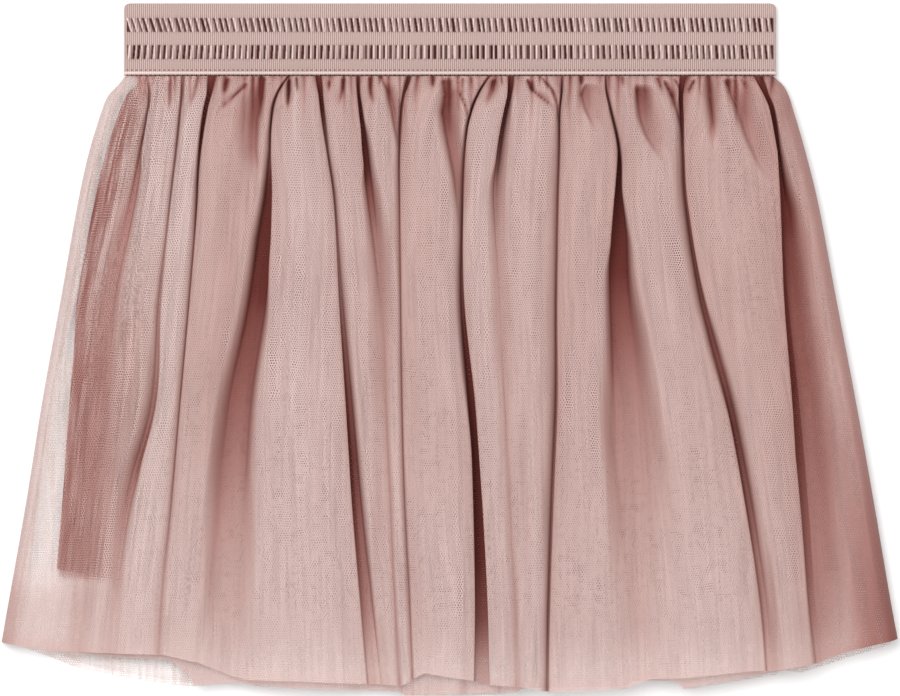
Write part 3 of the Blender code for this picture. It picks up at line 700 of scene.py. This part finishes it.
def add_node(tree, kind, inputs=None, **settings):
    """A node with its settings and its inputs, each a value or another node's output."""
    row, column = divmod(len(tree.nodes), NODES_IN_ROW)
    node = tree.nodes.new(kind)
    node.location = (NODE_STEP * column, -NODE_STEP * row)
    for key, value in settings.items():
        setattr(node, key, value)
    for key, value in (inputs or {}).items():
        if isinstance(value, bpy.types.NodeSocket):
            tree.links.new(value, node.inputs[key])
        else:
            node.inputs[key].default_value = value
    return node


def math_node(tree, operation, *inputs):
    """A math node; an input is a number or another node's output."""
    return add_node(tree, "ShaderNodeMath", dict(enumerate(inputs)), operation=operation).outputs[0]


def mix_colours(tree, share, first, second, blend="MIX"):
    """Mix of two colours, each a tuple or an output."""
    inputs = {MIX_SHARE: share, MIX_FIRST: first, MIX_SECOND: second}
    return add_node(tree, "ShaderNodeMix", inputs, data_type="RGBA", blend_type=blend).outputs[2]


def soft_range(tree, value, low, high, most=1.0):
    """Soft step of a value between two limits."""
    inputs = {"Value": value, "From Min": low, "From Max": high, "To Max": most}
    node = add_node(tree, "ShaderNodeMapRange", inputs, interpolation_type="SMOOTHSTEP")
    return node.outputs["Result"]


def cloth_place(tree):
    """Place on the cloth, in millimetres."""
    return add_node(tree, "ShaderNodeUVMap", uv_map=CLOTH_MAP).outputs["UV"]


def point_value(tree, name):
    """A value that the mesh keeps at its points."""
    return add_node(tree, "ShaderNodeAttribute", attribute_name=name).outputs["Fac"]


def wave_of(tree, source, pitch):
    """Cosine that repeats at a pitch along one coordinate."""
    return math_node(tree, "COSINE", math_node(tree, "MULTIPLY", source, 2.0 * math.pi / pitch))


def streaks(tree, uv, across, along):
    """Uneven streaks, from nothing to all, at a number a millimetre across and along."""
    stretch = add_node(tree, "ShaderNodeMapping", {"Vector": uv, "Scale": (across, along, 1.0)})
    inputs = {"Vector": stretch.outputs["Vector"], "Scale": 1.0, "Detail": 2.0}
    return add_node(tree, "ShaderNodeTexNoise", inputs).outputs["Fac"]


def new_material(name, finish):
    """A node material, its tree and its shader; the finish is what is the same all over."""
    material = bpy.data.materials.new(name)
    material.use_nodes = True
    shader = material.node_tree.nodes["Principled BSDF"]
    for key, value in finish.items():
        shader.inputs[key].default_value = value
    return material, material.node_tree, shader


def duller(colour, share):
    """A colour with a share of its light."""
    return tuple(share * part for part in colour[:3]) + (1.0,)


def shade_colour(tree, painted_shading, colour, darkest):
    """Darken a colour by the painted shading at its points; light caught between folds turns redder
    as it fades.
    """
    ramp = add_node(tree, "ShaderNodeValToRGB", {"Fac": painted_shading})
    stops = ramp.color_ramp.elements
    reddening = [math.log(part) / math.log(darkest[0]) for part in darkest[:3]]
    for index in range(SHADE_STOPS):
        place = index / (SHADE_STOPS - 1)
        light = 1.0 - (1.0 - darkest[0]) * place
        inner = 0 < index < SHADE_STOPS - 1
        stop = stops.new(place) if inner else stops[-1 if index else 0]
        share = 0.65 + 0.35 * place
        stop.color = [light ** (1.0 + (power - 1.0) * share) for power in reddening] + [1.0]
    return mix_colours(tree, 1.0, colour, ramp.outputs["Color"], "MULTIPLY")


def net_holes(tree, uv, pitch, turn):
    """Staggered field of small holes with ribbed patches: low on the threads, high in the holes."""
    wander = add_node(tree, "ShaderNodeTexNoise", {"Vector": uv, "Scale": 0.22, "Detail": 1.0})
    moved = add_node(tree, "ShaderNodeVectorMath", operation="MULTIPLY_ADD",
                     inputs={0: wander.outputs["Color"], 1: (1.6, 1.6, 0.0), 2: uv})
    turned = add_node(tree, "ShaderNodeMapping", {
        "Vector": moved.outputs[0], "Rotation": (0.0, 0.0, math.radians(turn))})
    split = add_node(tree, "ShaderNodeSeparateXYZ", {0: turned.outputs["Vector"]})
    across, along = split.outputs["X"], split.outputs["Y"]
    length = HOLE_LENGTH * pitch
    holes = math_node(tree, "MULTIPLY", wave_of(tree, across, pitch), wave_of(tree, along, length))
    holes = math_node(tree, "MULTIPLY_ADD", holes, 2.0, wave_of(tree, along, 0.5 * length))
    ribs = math_node(tree, "MULTIPLY", wave_of(tree, across, 0.5 * pitch), 1.5)
    ribbed = soft_range(tree, streaks(tree, uv, 0.35, 0.02), 0.42, 0.6, RIBBED_MOST)
    inputs = {MIX_SHARE: ribbed, 2: holes, 3: ribs}
    return add_node(tree, "ShaderNodeMix", inputs, data_type="FLOAT").outputs[0]


def crackle(tree, uv, dense):
    """Streaks of close and open net where two thin layers lie over each other."""
    swing = math_node(tree, "MULTIPLY_ADD", streaks(tree, uv, 0.6, 0.05), 1.4, -0.7)
    thin = math_node(tree, "MAXIMUM", math_node(tree, "SUBTRACT", 0.55, dense), 0.0)
    return math_node(tree, "MULTIPLY", swing, thin)


def net_material(name, colours, pitch, turn):
    """Fine net: pale thread round small holes, closer where it is gathered or seen aslant."""
    material, tree, shader = new_material(name, {
        "Roughness": 0.75, "Specular IOR Level": 0.1, "Sheen Weight": 0.04, "Sheen Roughness": 0.5})
    uv = cloth_place(tree)
    wale = streaks(tree, uv, 1.1, 0.03)
    tilt, dense, painted_shading = (point_value(tree, key) for key in ("tilt", "dense", "painted_shading"))

    closeness = OPEN_NET
    for source, weight in ((wale, 1.3), (streaks(tree, uv, 0.09, 0.03), 0.8), (dense, 1.2),
                           (tilt, 1.8), (painted_shading, 2.0)):
        closeness = math_node(tree, "MULTIPLY_ADD", source, weight, closeness)
    closeness = math_node(tree, "ADD", closeness, crackle(tree, uv, dense))
    thread = math_node(tree, "SUBTRACT", closeness, net_holes(tree, uv, pitch, turn))
    alpha = soft_range(tree, thread, -THREAD_EDGE, THREAD_EDGE)
    tree.links.new(alpha, shader.inputs["Alpha"])

    colour = mix_colours(tree, wale, duller(colours.net, 0.86), tuple(colours.net))
    # Painted light: where the net lies thin, its thread is painted paler
    colour = mix_colours(tree, dense, tuple(colours.net_lit_through), colour)
    # Painted shade on the flanks and at cut edges, partly the real closer weave seen aslant
    aslant = math_node(tree, "MULTIPLY", tilt, 0.9)
    colour = mix_colours(tree, aslant, colour, tuple(colours.net_flank_shade))
    # Painted shade: the points' painted shading makes the thread darker and redder
    colour = shade_colour(tree, painted_shading, colour, tuple(colours.net_deep))
    tree.links.new(colour, shader.inputs["Base Color"])
    return material


def cloth_material(name, colour):
    """Smooth matt lining cloth."""
    material, tree, shader = new_material(name, {"Roughness": 0.85, "Specular IOR Level": 0.2})
    inputs = {"Vector": cloth_place(tree), "Scale": 0.05, "Detail": 3.0}
    noise = add_node(tree, "ShaderNodeTexNoise", inputs).outputs["Fac"]
    mixed = mix_colours(tree, noise, duller(colour, 0.8), tuple(colour))
    tree.links.new(mixed, shader.inputs["Base Color"])
    return material


def near_row(tree, down, place, sharpness):
    """How near a point is to a row along the band, from nothing to all."""
    away = math_node(tree, "ABSOLUTE", math_node(tree, "SUBTRACT", down, place))
    return math_node(tree, "MAXIMUM", math_node(tree, "MULTIPLY_ADD", away, -sharpness, 1.0), 0.0)


def stitch_holes(tree, across, down):
    """Painted shade in the gaps of the two rows of stitching along the band's lower edge."""
    near = math_node(tree, "MAXIMUM", *(near_row(tree, down, row, 3.0) for row in STITCH_ROWS))
    dots = math_node(tree, "ADD", wave_of(tree, across, STITCH_PITCH), 0.2)
    return math_node(tree, "MULTIPLY", near, math_node(tree, "MAXIMUM", dots, 0.0))


def elastic_material(name, colours):
    """Ribbed elastic with painted shade in its rib grooves, in the slots between the small pleats
    and in the stitch holes, and painted highlights on the pleats and along the picot edge.
    """
    material, tree, shader = new_material(name, {
        "Roughness": 0.8, "Specular IOR Level": 0.25, "Sheen Weight": 0.1})
    split = add_node(tree, "ShaderNodeSeparateXYZ", {0: cloth_place(tree)})
    across, down = split.outputs["X"], split.outputs["Y"]
    turn = math_node(tree, "MULTIPLY", across, 2.0 * math.pi / RIB_PITCH)
    rib = math_node(tree, "SINE", turn)
    painted_shading = point_value(tree, "painted_shading")
    # Painted shade: the grooves between the ribs are painted darker; the bump gives the ribs their
    # relief
    groove_shade = math_node(tree, "MULTIPLY_ADD", rib, 0.5, 0.45)
    colour = mix_colours(tree, groove_shade, tuple(colours.elastic), tuple(colours.elastic_groove_shade))
    # Painted highlights: near each pleat's left edge, where its painted shading falls below
    # nothing, and along the picot stitching at the band's lower edge
    crest_highlight = math_node(tree, "MULTIPLY", painted_shading, -1.0)
    for share in (crest_highlight, near_row(tree, down, EDGE_LINE, 1.5)):
        colour = mix_colours(tree, share, colour, tuple(colours.elastic_crest_highlight))
    # Painted shade in the slots between the pleats and in the stitch holes
    slot_and_hole_shade = math_node(tree, "MAXIMUM", painted_shading, stitch_holes(tree, across, down))
    colour = mix_colours(tree, slot_and_hole_shade, colour, tuple(colours.slot))
    tree.links.new(colour, shader.inputs["Base Color"])
    bump = add_node(tree, "ShaderNodeBump", {"Height": rib, "Distance": 0.0002, "Strength": 0.6})
    tree.links.new(bump.outputs["Normal"], shader.inputs["Normal"])
    return material


def finish_piece(item, material, node):
    """Give a piece its material and body, and let it stand for its solid."""
    item.data.materials.append(material)
    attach(item, "root")
    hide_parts(node)


def lining_hem(across):
    """Drop of the lining's hem."""
    rise = (LINING_MIDDLE_DROP - LINING_SIDE_DROP) * np.abs(across / BACK_HEM[-1].across) ** 1.6
    return LINING_MIDDLE_DROP - rise


def lining_inset(drop):
    """How far the lining's side lies inside the net's."""
    drops, insets = zip(*LINING_EDGE)
    return smooth_curve(drops, insets, drop)


def over_lining(inside, across, drop):
    """Where the lining shows through: less near the seam, where the nets are gathered closer."""
    lined = soft_rise(inside - lining_inset(drop)) * soft_rise((lining_hem(across) - drop) / 2.0)
    open_net = 0.1 + 0.9 * soft_rise(drop, 50.0, 70.0)
    return lined * (1.0 - soft_rise(inside, 32.0, 14.0)) * open_net


def front_fold_shade(spot, drop):
    """Painted shade that darkens each fold, above and at the hem, and the last one's outer part."""
    lower = soft_rise(drop, 100.0, 110.0)
    tone = by_fold(spot, "tone") * (1.0 - lower) + by_fold(spot, "low") * lower
    return tone + LAST_FOLD_SHADE * lower * soft_rise(spot, 13.3, 0.4)


def front_shade(edges, across, drop, view, cut, between):
    """Shade from the sky that is hidden, the seam, the gathers and the crisp edges."""
    hidden = np.clip((0.95 - view) / 0.9, 0.0, 1.0) ** 1.3 * (0.22 + 0.78 * cut)
    seam = 0.06 * cut * np.exp(-drop / 10.0) + 0.55 * between + 0.12 * np.exp(-drop / 1.2)
    flank = 0.2 * flank_shade(edges, across, drop)
    lit_hem = 0.55 * soft_rise(drop, 195.0, 30.0)
    return (hidden + seam + flank) * (1.0 - lit_hem)


def front_closeness(spot, across, drop, inside, open_share):
    """How closely the outer front's threads lie: by fold, more at the sides and left hem."""
    hem = soft_rise(drop, 200.0, 25.0)
    side = np.exp(-((inside - 4.0) / 2.5) ** 2)
    left_hem = soft_rise(drop, 180.0, 14.0) * (1.0 - soft_rise(across, -140.0, 40.0))
    dense = by_fold(spot, "dense") * (0.6 + 0.4 * open_share) * (1.0 - 0.75 * hem)
    return dense + 0.5 * side + 0.85 * left_hem


def outer_front_grid(reach, column):
    """Grid of the outer front's cloth: places, drops, heights, closeness and shade."""
    drop = panel_rows(*OUTER_ROWS)[:, None] * column_hem(FRONT_HEM, column)[None, :]
    edges = fold_edges(drop)
    across = place_on_fold(edges, column, drop)
    folds, cut = large_folds(edges, across, drop)
    open_share = np.clip(folds / 3.0, 0.0, 1.0)
    gathers, between = seam_gathers(across, drop)
    waves = UNEVEN * uneven(across, drop, 3) - crease_depth(across, drop)
    inside = np.minimum(across - edges[0], edges[-1] - across)
    low = FRONT_LEVEL - SEAM_DIP * seam_dip(drop)
    rise = low - EDGE_HEIGHT + folds + (gathers + open_share * waves)
    height = EDGE_HEIGHT + rise * round_rise(inside / SIDE_ROLL)
    fold, part = find_fold(edges, across)
    spot = fold + part
    # Painted shade: darker where folds hide the sky, under the seam, between the gathers and beside
    # crisp edges
    painted_shading = front_shade(edges, across, drop, sky_view(across, height), cut, between)
    # Painted shade of each fold, above and at the hem, adds to it
    painted_shading = np.clip(painted_shading + front_fold_shade(spot, drop), 0.0, 1.0)
    lined = np.where(across < 0.0, over_lining(inside, across, drop), 0.0)
    # Painted shade where the lining lies behind the outer net
    painted_shading = np.clip(painted_shading + 0.22 * lined, 0.0, 1.0)
    dense = front_closeness(spot, across, drop, inside, open_share) - 0.6 * lined
    return across + overhang_shift(edges, across, drop, reach), drop, height, dense, painted_shading


def under_front_grid(column):
    """Grid of the second net's front: places, drops, heights, closeness and shade."""
    drop = panel_rows(*UNDER_ROWS)[:, None] * column_hem(UNDER_HEM, column)[None, :]
    edges = fold_edges(drop)
    width = edges[-1] - edges[0]
    share = (place_on_fold(edges, column, drop) - edges[0]) * (width - 2.0 * UNDER_INSET) / width
    across = edges[0] + UNDER_INSET + share
    nearby = [large_folds(edges, across + offset, drop)[0] for offset in UNDER_REACH]
    inside = np.minimum(across - edges[0], edges[-1] - across) - UNDER_INSET
    away_from_side = soft_rise(inside / UNDER_FADE)
    low = UNDER_FRONT_LEVEL - 0.65 * SEAM_DIP * seam_dip(drop)
    height = UNDER_EDGE_HEIGHT + (low - UNDER_EDGE_HEIGHT) * round_rise(inside / UNDER_ROLL)
    height += UNDER_SHARE * (np.min(nearby, axis=0) * away_from_side)
    height += 0.15 * uneven(across, drop, 5) * away_from_side
    # Painted shade: the second net is darker where the outer folds cover it and where the lining
    # lies behind it
    covered = soft_rise(inside, 6.0, 12.0) * soft_rise((228.0 - drop) / 45.0)
    painted_shading = 0.45 * covered * (1.0 - 0.6 * soft_rise(drop, 60.0, 110.0))
    painted_shading = np.maximum(painted_shading, 0.7 * over_lining(inside + UNDER_INSET, across, drop))
    return across, drop, height, 1.4 * soft_rise(inside, 16.0, 25.0) - 0.3, painted_shading


def gathered_sheet(context, front, grid, column):
    """One gathered front as a sheet of net."""
    across, drop, height, dense, painted_shading = grid
    along = SEAM_Y - drop
    places, width = cloth_widths(across, height, column)
    slant = (1.0 - facing_up(across, along, height)) * (1.0 - front.ease * np.exp(-drop / 7.0))
    values = {"painted_shading": painted_shading, "tilt": np.clip(slant + edge_closing(drop), 0.0, 1.0), "dense": dense}
    cloth = np.stack([places, drop], axis=-1)
    item = sheet_object(front.name, across, along, height, cloth, values)
    pitch = context.scene.skirt_sizes.net_pitch
    net = net_material(front.material, context.scene.skirt_colours, pitch, front.turn)
    finish_piece(item, net, front.node)


class SKIRT_OT_outer_front(Operator):
    """Make the gathered front of the outer net"""

    bl_idname = "skirt.outer_front"
    bl_label = "Outer net, front"

    def execute(self, context):
        column = panel_columns(OUTER_COLUMNS)
        grid = outer_front_grid(context.scene.skirt_sizes.overhang, column)
        gathered_sheet(context, OUTER_FRONT, grid, column)
        return {"FINISHED"}


class SKIRT_OT_under_front(Operator):
    """Make the second net's front, lower inside the outer folds"""

    bl_idname = "skirt.under_front"
    bl_label = "Second net, front"

    def execute(self, context):
        column = panel_columns(UNDER_COLUMNS)
        gathered_sheet(context, UNDER_FRONT, under_front_grid(column), column)
        return {"FINISHED"}


def flat_grid(columns, rows, inset_at, hem_at):
    """Places and drops of a panel that lies nearly flat inside the net's sides."""
    part = np.linspace(0.0, 1.0, columns)
    hem = hem_at((2.0 * part - 1.0) * BACK_HEM[-1].across)
    drop = panel_rows(rows, FLAT_CROWD)[:, None] * hem[None, :]
    edges = fold_edges(drop)
    inset = inset_at(drop)
    return edges[0] + inset + part[None, :] * (edges[-1] - edges[0] - 2.0 * inset), drop


def flat_sheet(name, node, material, grid):
    """A nearly flat panel as one sheet."""
    across, drop, height = grid
    cloth = np.stack([across, drop], axis=-1)
    inside = np.minimum(across - across[:, :1], across[:, -1:] - across)
    under = soft_rise(inside, 14.0, 30.0) * (1.0 - soft_rise(drop, 190.0, 32.0))
    dense = 1.6 * under - 0.3 - 0.15 * soft_rise(drop, 206.0, 10.0)
    # Painted shade on the backs where the fronts lie over them
    values = {"painted_shading": 0.6 * under, "tilt": edge_closing(drop), "dense": dense}
    item = sheet_object(name, across, SEAM_Y - drop, height, cloth, values)
    finish_piece(item, material, node)


class SKIRT_OT_backs(Operator):
    """Make the two nets' backs, which the skirt lies on"""

    bl_idname = "skirt.backs"
    bl_label = "Nets, back"

    def execute(self, context):
        colours, pitch = context.scene.skirt_colours, context.scene.skirt_sizes.net_pitch
        for back in BACKS:
            across, drop = flat_grid(back.columns, back.rows, lambda drop: back.inset + 0.0 * drop,
                                     lambda across: hem_drop(BACK_HEM, across) - back.shorter)
            height = back.level - back.wave * np.abs(uneven(across, drop, back.seed))
            net = net_material(back.name, colours, pitch, back.turn)
            flat_sheet(back.name, back.node, net, (across, drop, height))
        return {"FINISHED"}


class SKIRT_OT_lining(Operator):
    """Make the lining's front and back"""

    bl_idname = "skirt.lining"
    bl_label = "Lining"

    def execute(self, context):
        cloth = cloth_material("lining_cloth", context.scene.skirt_colours.lining)
        across, drop = flat_grid(*LINING_GRID, lining_inset, lining_hem)
        waves = LINING_WAVE * uneven(across, drop, LINING_SEED)
        for side, level, rests_on in LININGS:
            flat_sheet(f"lining_{side}_cloth", f"lining_{side}", cloth,
                       (across, drop, level + waves))
        return {"FINISHED"}


def band_rows():
    """Distances down the band of its rows, close together in the ladders."""
    first = STRIP_ONE
    second = first + LADDER + STRIP_TWO
    length = (BAND_HIGH[1] - BAND_LOW[1]) / MM
    starts = (0.0, first, first + LADDER, second, second + LADDER)
    parts = (TOP_ROWS, LADDER_ROWS, MIDDLE_ROWS, LADDER_ROWS, LOWER_ROWS)
    rows = [start + np.array(part) for start, part in zip(starts, parts)]
    return np.concatenate(rows + [[length]]), first, second


def pleat_relief(place, down, start, lean, draw):
    """Relief of one ladder row of small pleats, and its painted shading: full in the slots, growing
    across each pleat, with a painted highlight near its left edge.
    """
    pitch = 2.0 * (BAND_HIGH[0] / MM - BAND_SIDE_ROUND) / PLEATS
    centres = (np.arange(PLEATS + 1) - 0.5 * PLEATS + draw.uniform(-0.16, 0.16, PLEATS + 1)) * pitch
    widths = np.clip(draw.normal(0.29, 0.08, PLEATS + 1), 0.16, 0.5) * pitch
    slots = np.clip(draw.normal(1.0, 0.12, PLEATS + 1), 0.75, 1.2)
    part = np.clip((down - start) / LADDER, 0.0, 1.0)
    body = soft_rise((down - start) / 0.5) * soft_rise((start + LADDER - down) / 0.5)
    leaned = place[None, :] - lean(place)[None, :] * (part[:, None] - 0.5)
    index = np.clip(np.searchsorted(centres, leaned) - 1, 0, PLEATS - 1)
    left = leaned - centres[index] - 0.5 * widths[index]
    right = centres[index + 1] - leaned - 0.5 * widths[index + 1]
    half = 0.5 * (left + right)
    nearest = np.minimum(left, right)
    dome = np.sqrt(np.clip(1.0 - (1.0 - nearest / half) ** 2, 0.0, 1.0))
    ridge = np.where(nearest > 0.0, dome, 0.0)
    depth = np.where(left < right, slots[index], slots[index + 1])
    relief = (PLEAT_RISE + SLOT_DEPTH * depth) * ridge - SLOT_DEPTH * depth
    place_on_pleat = np.clip(left / np.maximum(left + right, 0.1), 0.0, 1.0)
    shade = 0.4 * place_on_pleat ** 2 - 1.5 * np.exp(-((place_on_pleat - 0.16) / 0.15) ** 2)
    shade = np.where(nearest > 0.0, shade, np.clip(0.95 * depth, 0.0, 1.0))
    return relief * body[:, None], shade * body[:, None]


def band_loop(inset, front, back, side_round):
    """Places and heights round the band, its front's columns first."""
    reach = BAND_HIGH[0] / MM - inset - side_round
    front_x = np.linspace(-reach, reach, PLEATS * COLUMNS_A_PLEAT + 1)
    back_x = np.linspace(reach, -reach, PLEATS * BACK_COLUMNS_A_PLEAT + 1)
    turns = np.radians(np.linspace(75.0, -75.0, SIDE_COLUMNS))
    side_x = reach + side_round * np.cos(turns)
    side_z = 0.5 * (front + back) + 0.5 * (front - back) * np.sin(turns)
    x = np.concatenate([front_x, side_x, back_x, -side_x[::-1]])
    z = np.concatenate([np.full(len(front_x), front), side_z, np.full(len(back_x), back),
                        side_z[::-1]])
    return x, z


def first_lean(place):
    """How far the upper row's pleats lean at a place across."""
    return 0.75 + np.clip(-place / LEAN_REACH, 0.0, 1.0) ** 2


def second_lean(place):
    """How far the lower row's pleats lean at a place across."""
    return 0.5 * place / LEAN_REACH


def band_grid():
    """Closed grid of the band: places, distances down, heights and shade."""
    down, first, second = band_rows()
    base_x, base_z = band_loop(0.0, BAND_FRONT, 0.0, BAND_SIDE_ROUND)
    x = np.tile(base_x, (len(down), 1))
    z = np.tile(base_z, (len(down), 1))
    painted_shading = np.zeros(x.shape)
    draw = np.random.default_rng(21)
    front_count = PLEATS * COLUMNS_A_PLEAT + 1
    back_start = front_count + SIDE_COLUMNS
    front = slice(0, front_count)
    back = slice(back_start, back_start + PLEATS * BACK_COLUMNS_A_PLEAT + 1)
    for start, lean in ((first, first_lean), (second, second_lean)):
        for side in (front, back):
            relief, slot = pleat_relief(base_x[side], down, start, lean, draw)
            z[:, side] += relief if side is front else -np.minimum(relief, 0.0)
            # Painted shade of the slots and across the pleats; below nothing it is a painted
            # highlight
            painted_shading[:, side] += slot
    corner = BAND_CORNER * (1.0 - round_rise(down / BAND_CORNER))
    x *= 1.0 - corner[:, None] * MM / BAND_HIGH[0]
    rim = 1.0 - round_rise(down / 0.6) + 1.0 - round_rise((down[-1] - down) / 0.4)
    z[:, front] -= RIM_DROP * rim[:, None]

    inner_x, inner_z = band_loop(BAND_WALL, BAND_FRONT - BAND_WALL, BAND_WALL, 0.6)
    inner_down = (down[-1] - 0.1, 13.0, 0.3)
    rows = np.concatenate([down, inner_down, down[:1]])
    x = np.vstack([x, np.tile(inner_x, (3, 1)), x[:1]])
    z = np.vstack([z, np.tile(inner_z, (3, 1)), z[:1]])
    # The band's inner rows hold a little painted shade
    painted_shading = np.vstack([painted_shading, np.full((3, painted_shading.shape[1]), 0.3), painted_shading[:1]])
    x, z, painted_shading = (np.hstack([part, part[:, :1]]) for part in (x, z, painted_shading))
    return x, np.broadcast_to(rows[:, None], x.shape), z, painted_shading


class SKIRT_OT_waistband(Operator):
    """Make the smocked waistband: elastic strips with two rows of small pleats between them"""

    bl_idname = "skirt.waistband"
    bl_label = "Waistband"

    def execute(self, context):
        x, rows, z, painted_shading = band_grid()
        cloth = np.stack([x, rows], axis=-1)
        item = sheet_object("smocked_waistband", x, BAND_TOP_Y - rows, z, cloth, {"painted_shading": painted_shading})
        elastic = elastic_material("smocked_elastic", context.scene.skirt_colours)
        finish_piece(item, elastic, "waistband")
        return {"FINISHED"}


def area_light(name, place, size, power):
    """A soft lamp aimed at the skirt's middle."""
    light = bpy.data.lights.new(name, "AREA")
    light.shape = "DISK"
    light.size = size
    light.energy = power
    item = bpy.data.objects.new(name, light)
    item.location = place
    item.rotation_euler = (-Vector(place)).to_track_quat("-Z", "Y").to_euler()
    bpy.context.scene.collection.objects.link(item)


class SKIRT_OT_stage(Operator):
    """Make the floor, the studio light and the camera"""

    bl_idname = "skirt.stage"
    bl_label = "Stage"

    def execute(self, context):
        scene = context.scene
        mesh = bpy.data.meshes.new("floor")
        corners = ((-1, -1), (1, -1), (1, 1), (-1, 1))
        mesh.from_pydata([(FLOOR_REACH * x, FLOOR_REACH * y, 0) for x, y in corners],
                         [], [(0, 1, 2, 3)])
        floor = bpy.data.objects.new("floor", mesh)
        floor.location = (0.0, 0.0, -0.0005)
        scene.collection.objects.link(floor)
        finish = {"Base Color": tuple(scene.skirt_colours.floor), "Roughness": 0.9}
        mesh.materials.append(new_material("pale_floor", finish)[0])
        area_light("key", (-0.4, 0.35, 1.7), 0.8, 17.0)
        area_light("fill", (0.6, 0.0, 1.65), 1.0, 5.0)
        world = bpy.data.worlds.new("studio")
        world.use_nodes = True
        background = world.node_tree.nodes["Background"].inputs
        background["Color"].default_value = (1.0, 1.0, 1.0, 1.0)
        background["Strength"].default_value = 0.75
        scene.world = world
        camera = bpy.data.cameras.new("camera")
        camera.sensor_width = 36.0
        camera.lens = camera.sensor_width * CAMERA_HEIGHT / PICTURE_WIDTH
        item = bpy.data.objects.new("camera", camera)
        item.location = (0.0, 0.0007, CAMERA_HEIGHT)
        scene.collection.objects.link(item)
        scene.camera = item
        scene.view_settings.view_transform = "Standard"
        scene.cycles.transparent_max_bounces = 24
        return {"FINISHED"}


class SKIRT_PT_panel(Panel):
    """Lists the skirt's pieces"""

    bl_idname = "SKIRT_PT_panel"
    bl_label = "Skirt"
    bl_space_type = "VIEW_3D"
    bl_region_type = "UI"
    bl_category = "Skirt"

    def draw(self, context):
        layout = self.layout
        for group in (context.scene.skirt_sizes, context.scene.skirt_colours):
            for key in group.bl_rna.properties.keys():
                if key not in ("rna_type", "name"):
                    layout.prop(group, key)
        for operator in OPERATORS:
            layout.operator(operator.bl_idname)


OPERATORS = (SKIRT_OT_waistband, SKIRT_OT_outer_front, SKIRT_OT_under_front,
             SKIRT_OT_backs, SKIRT_OT_lining, SKIRT_OT_stage)
CLASSES = (SkirtSizes, SkirtColours) + OPERATORS + (SKIRT_PT_panel,)


def register():
    """Register the classes and hang the settings on the scene."""
    for kind in CLASSES:
        bpy.utils.register_class(kind)
    bpy.types.Scene.skirt_sizes = PointerProperty(type=SkirtSizes)
    bpy.types.Scene.skirt_colours = PointerProperty(type=SkirtColours)


def unregister():
    """Take the settings and the classes away again."""
    del bpy.types.Scene.skirt_colours
    del bpy.types.Scene.skirt_sizes
    for kind in reversed(CLASSES):
        bpy.utils.unregister_class(kind)


def main():
    """Make the skirt and the stage."""
    register()
    bpy.ops.skirt.waistband()
    bpy.ops.skirt.outer_front()
    bpy.ops.skirt.under_front()
    bpy.ops.skirt.backs()
    bpy.ops.skirt.lining()
    bpy.ops.skirt.stage()


if __name__ == "__main__":
    main()
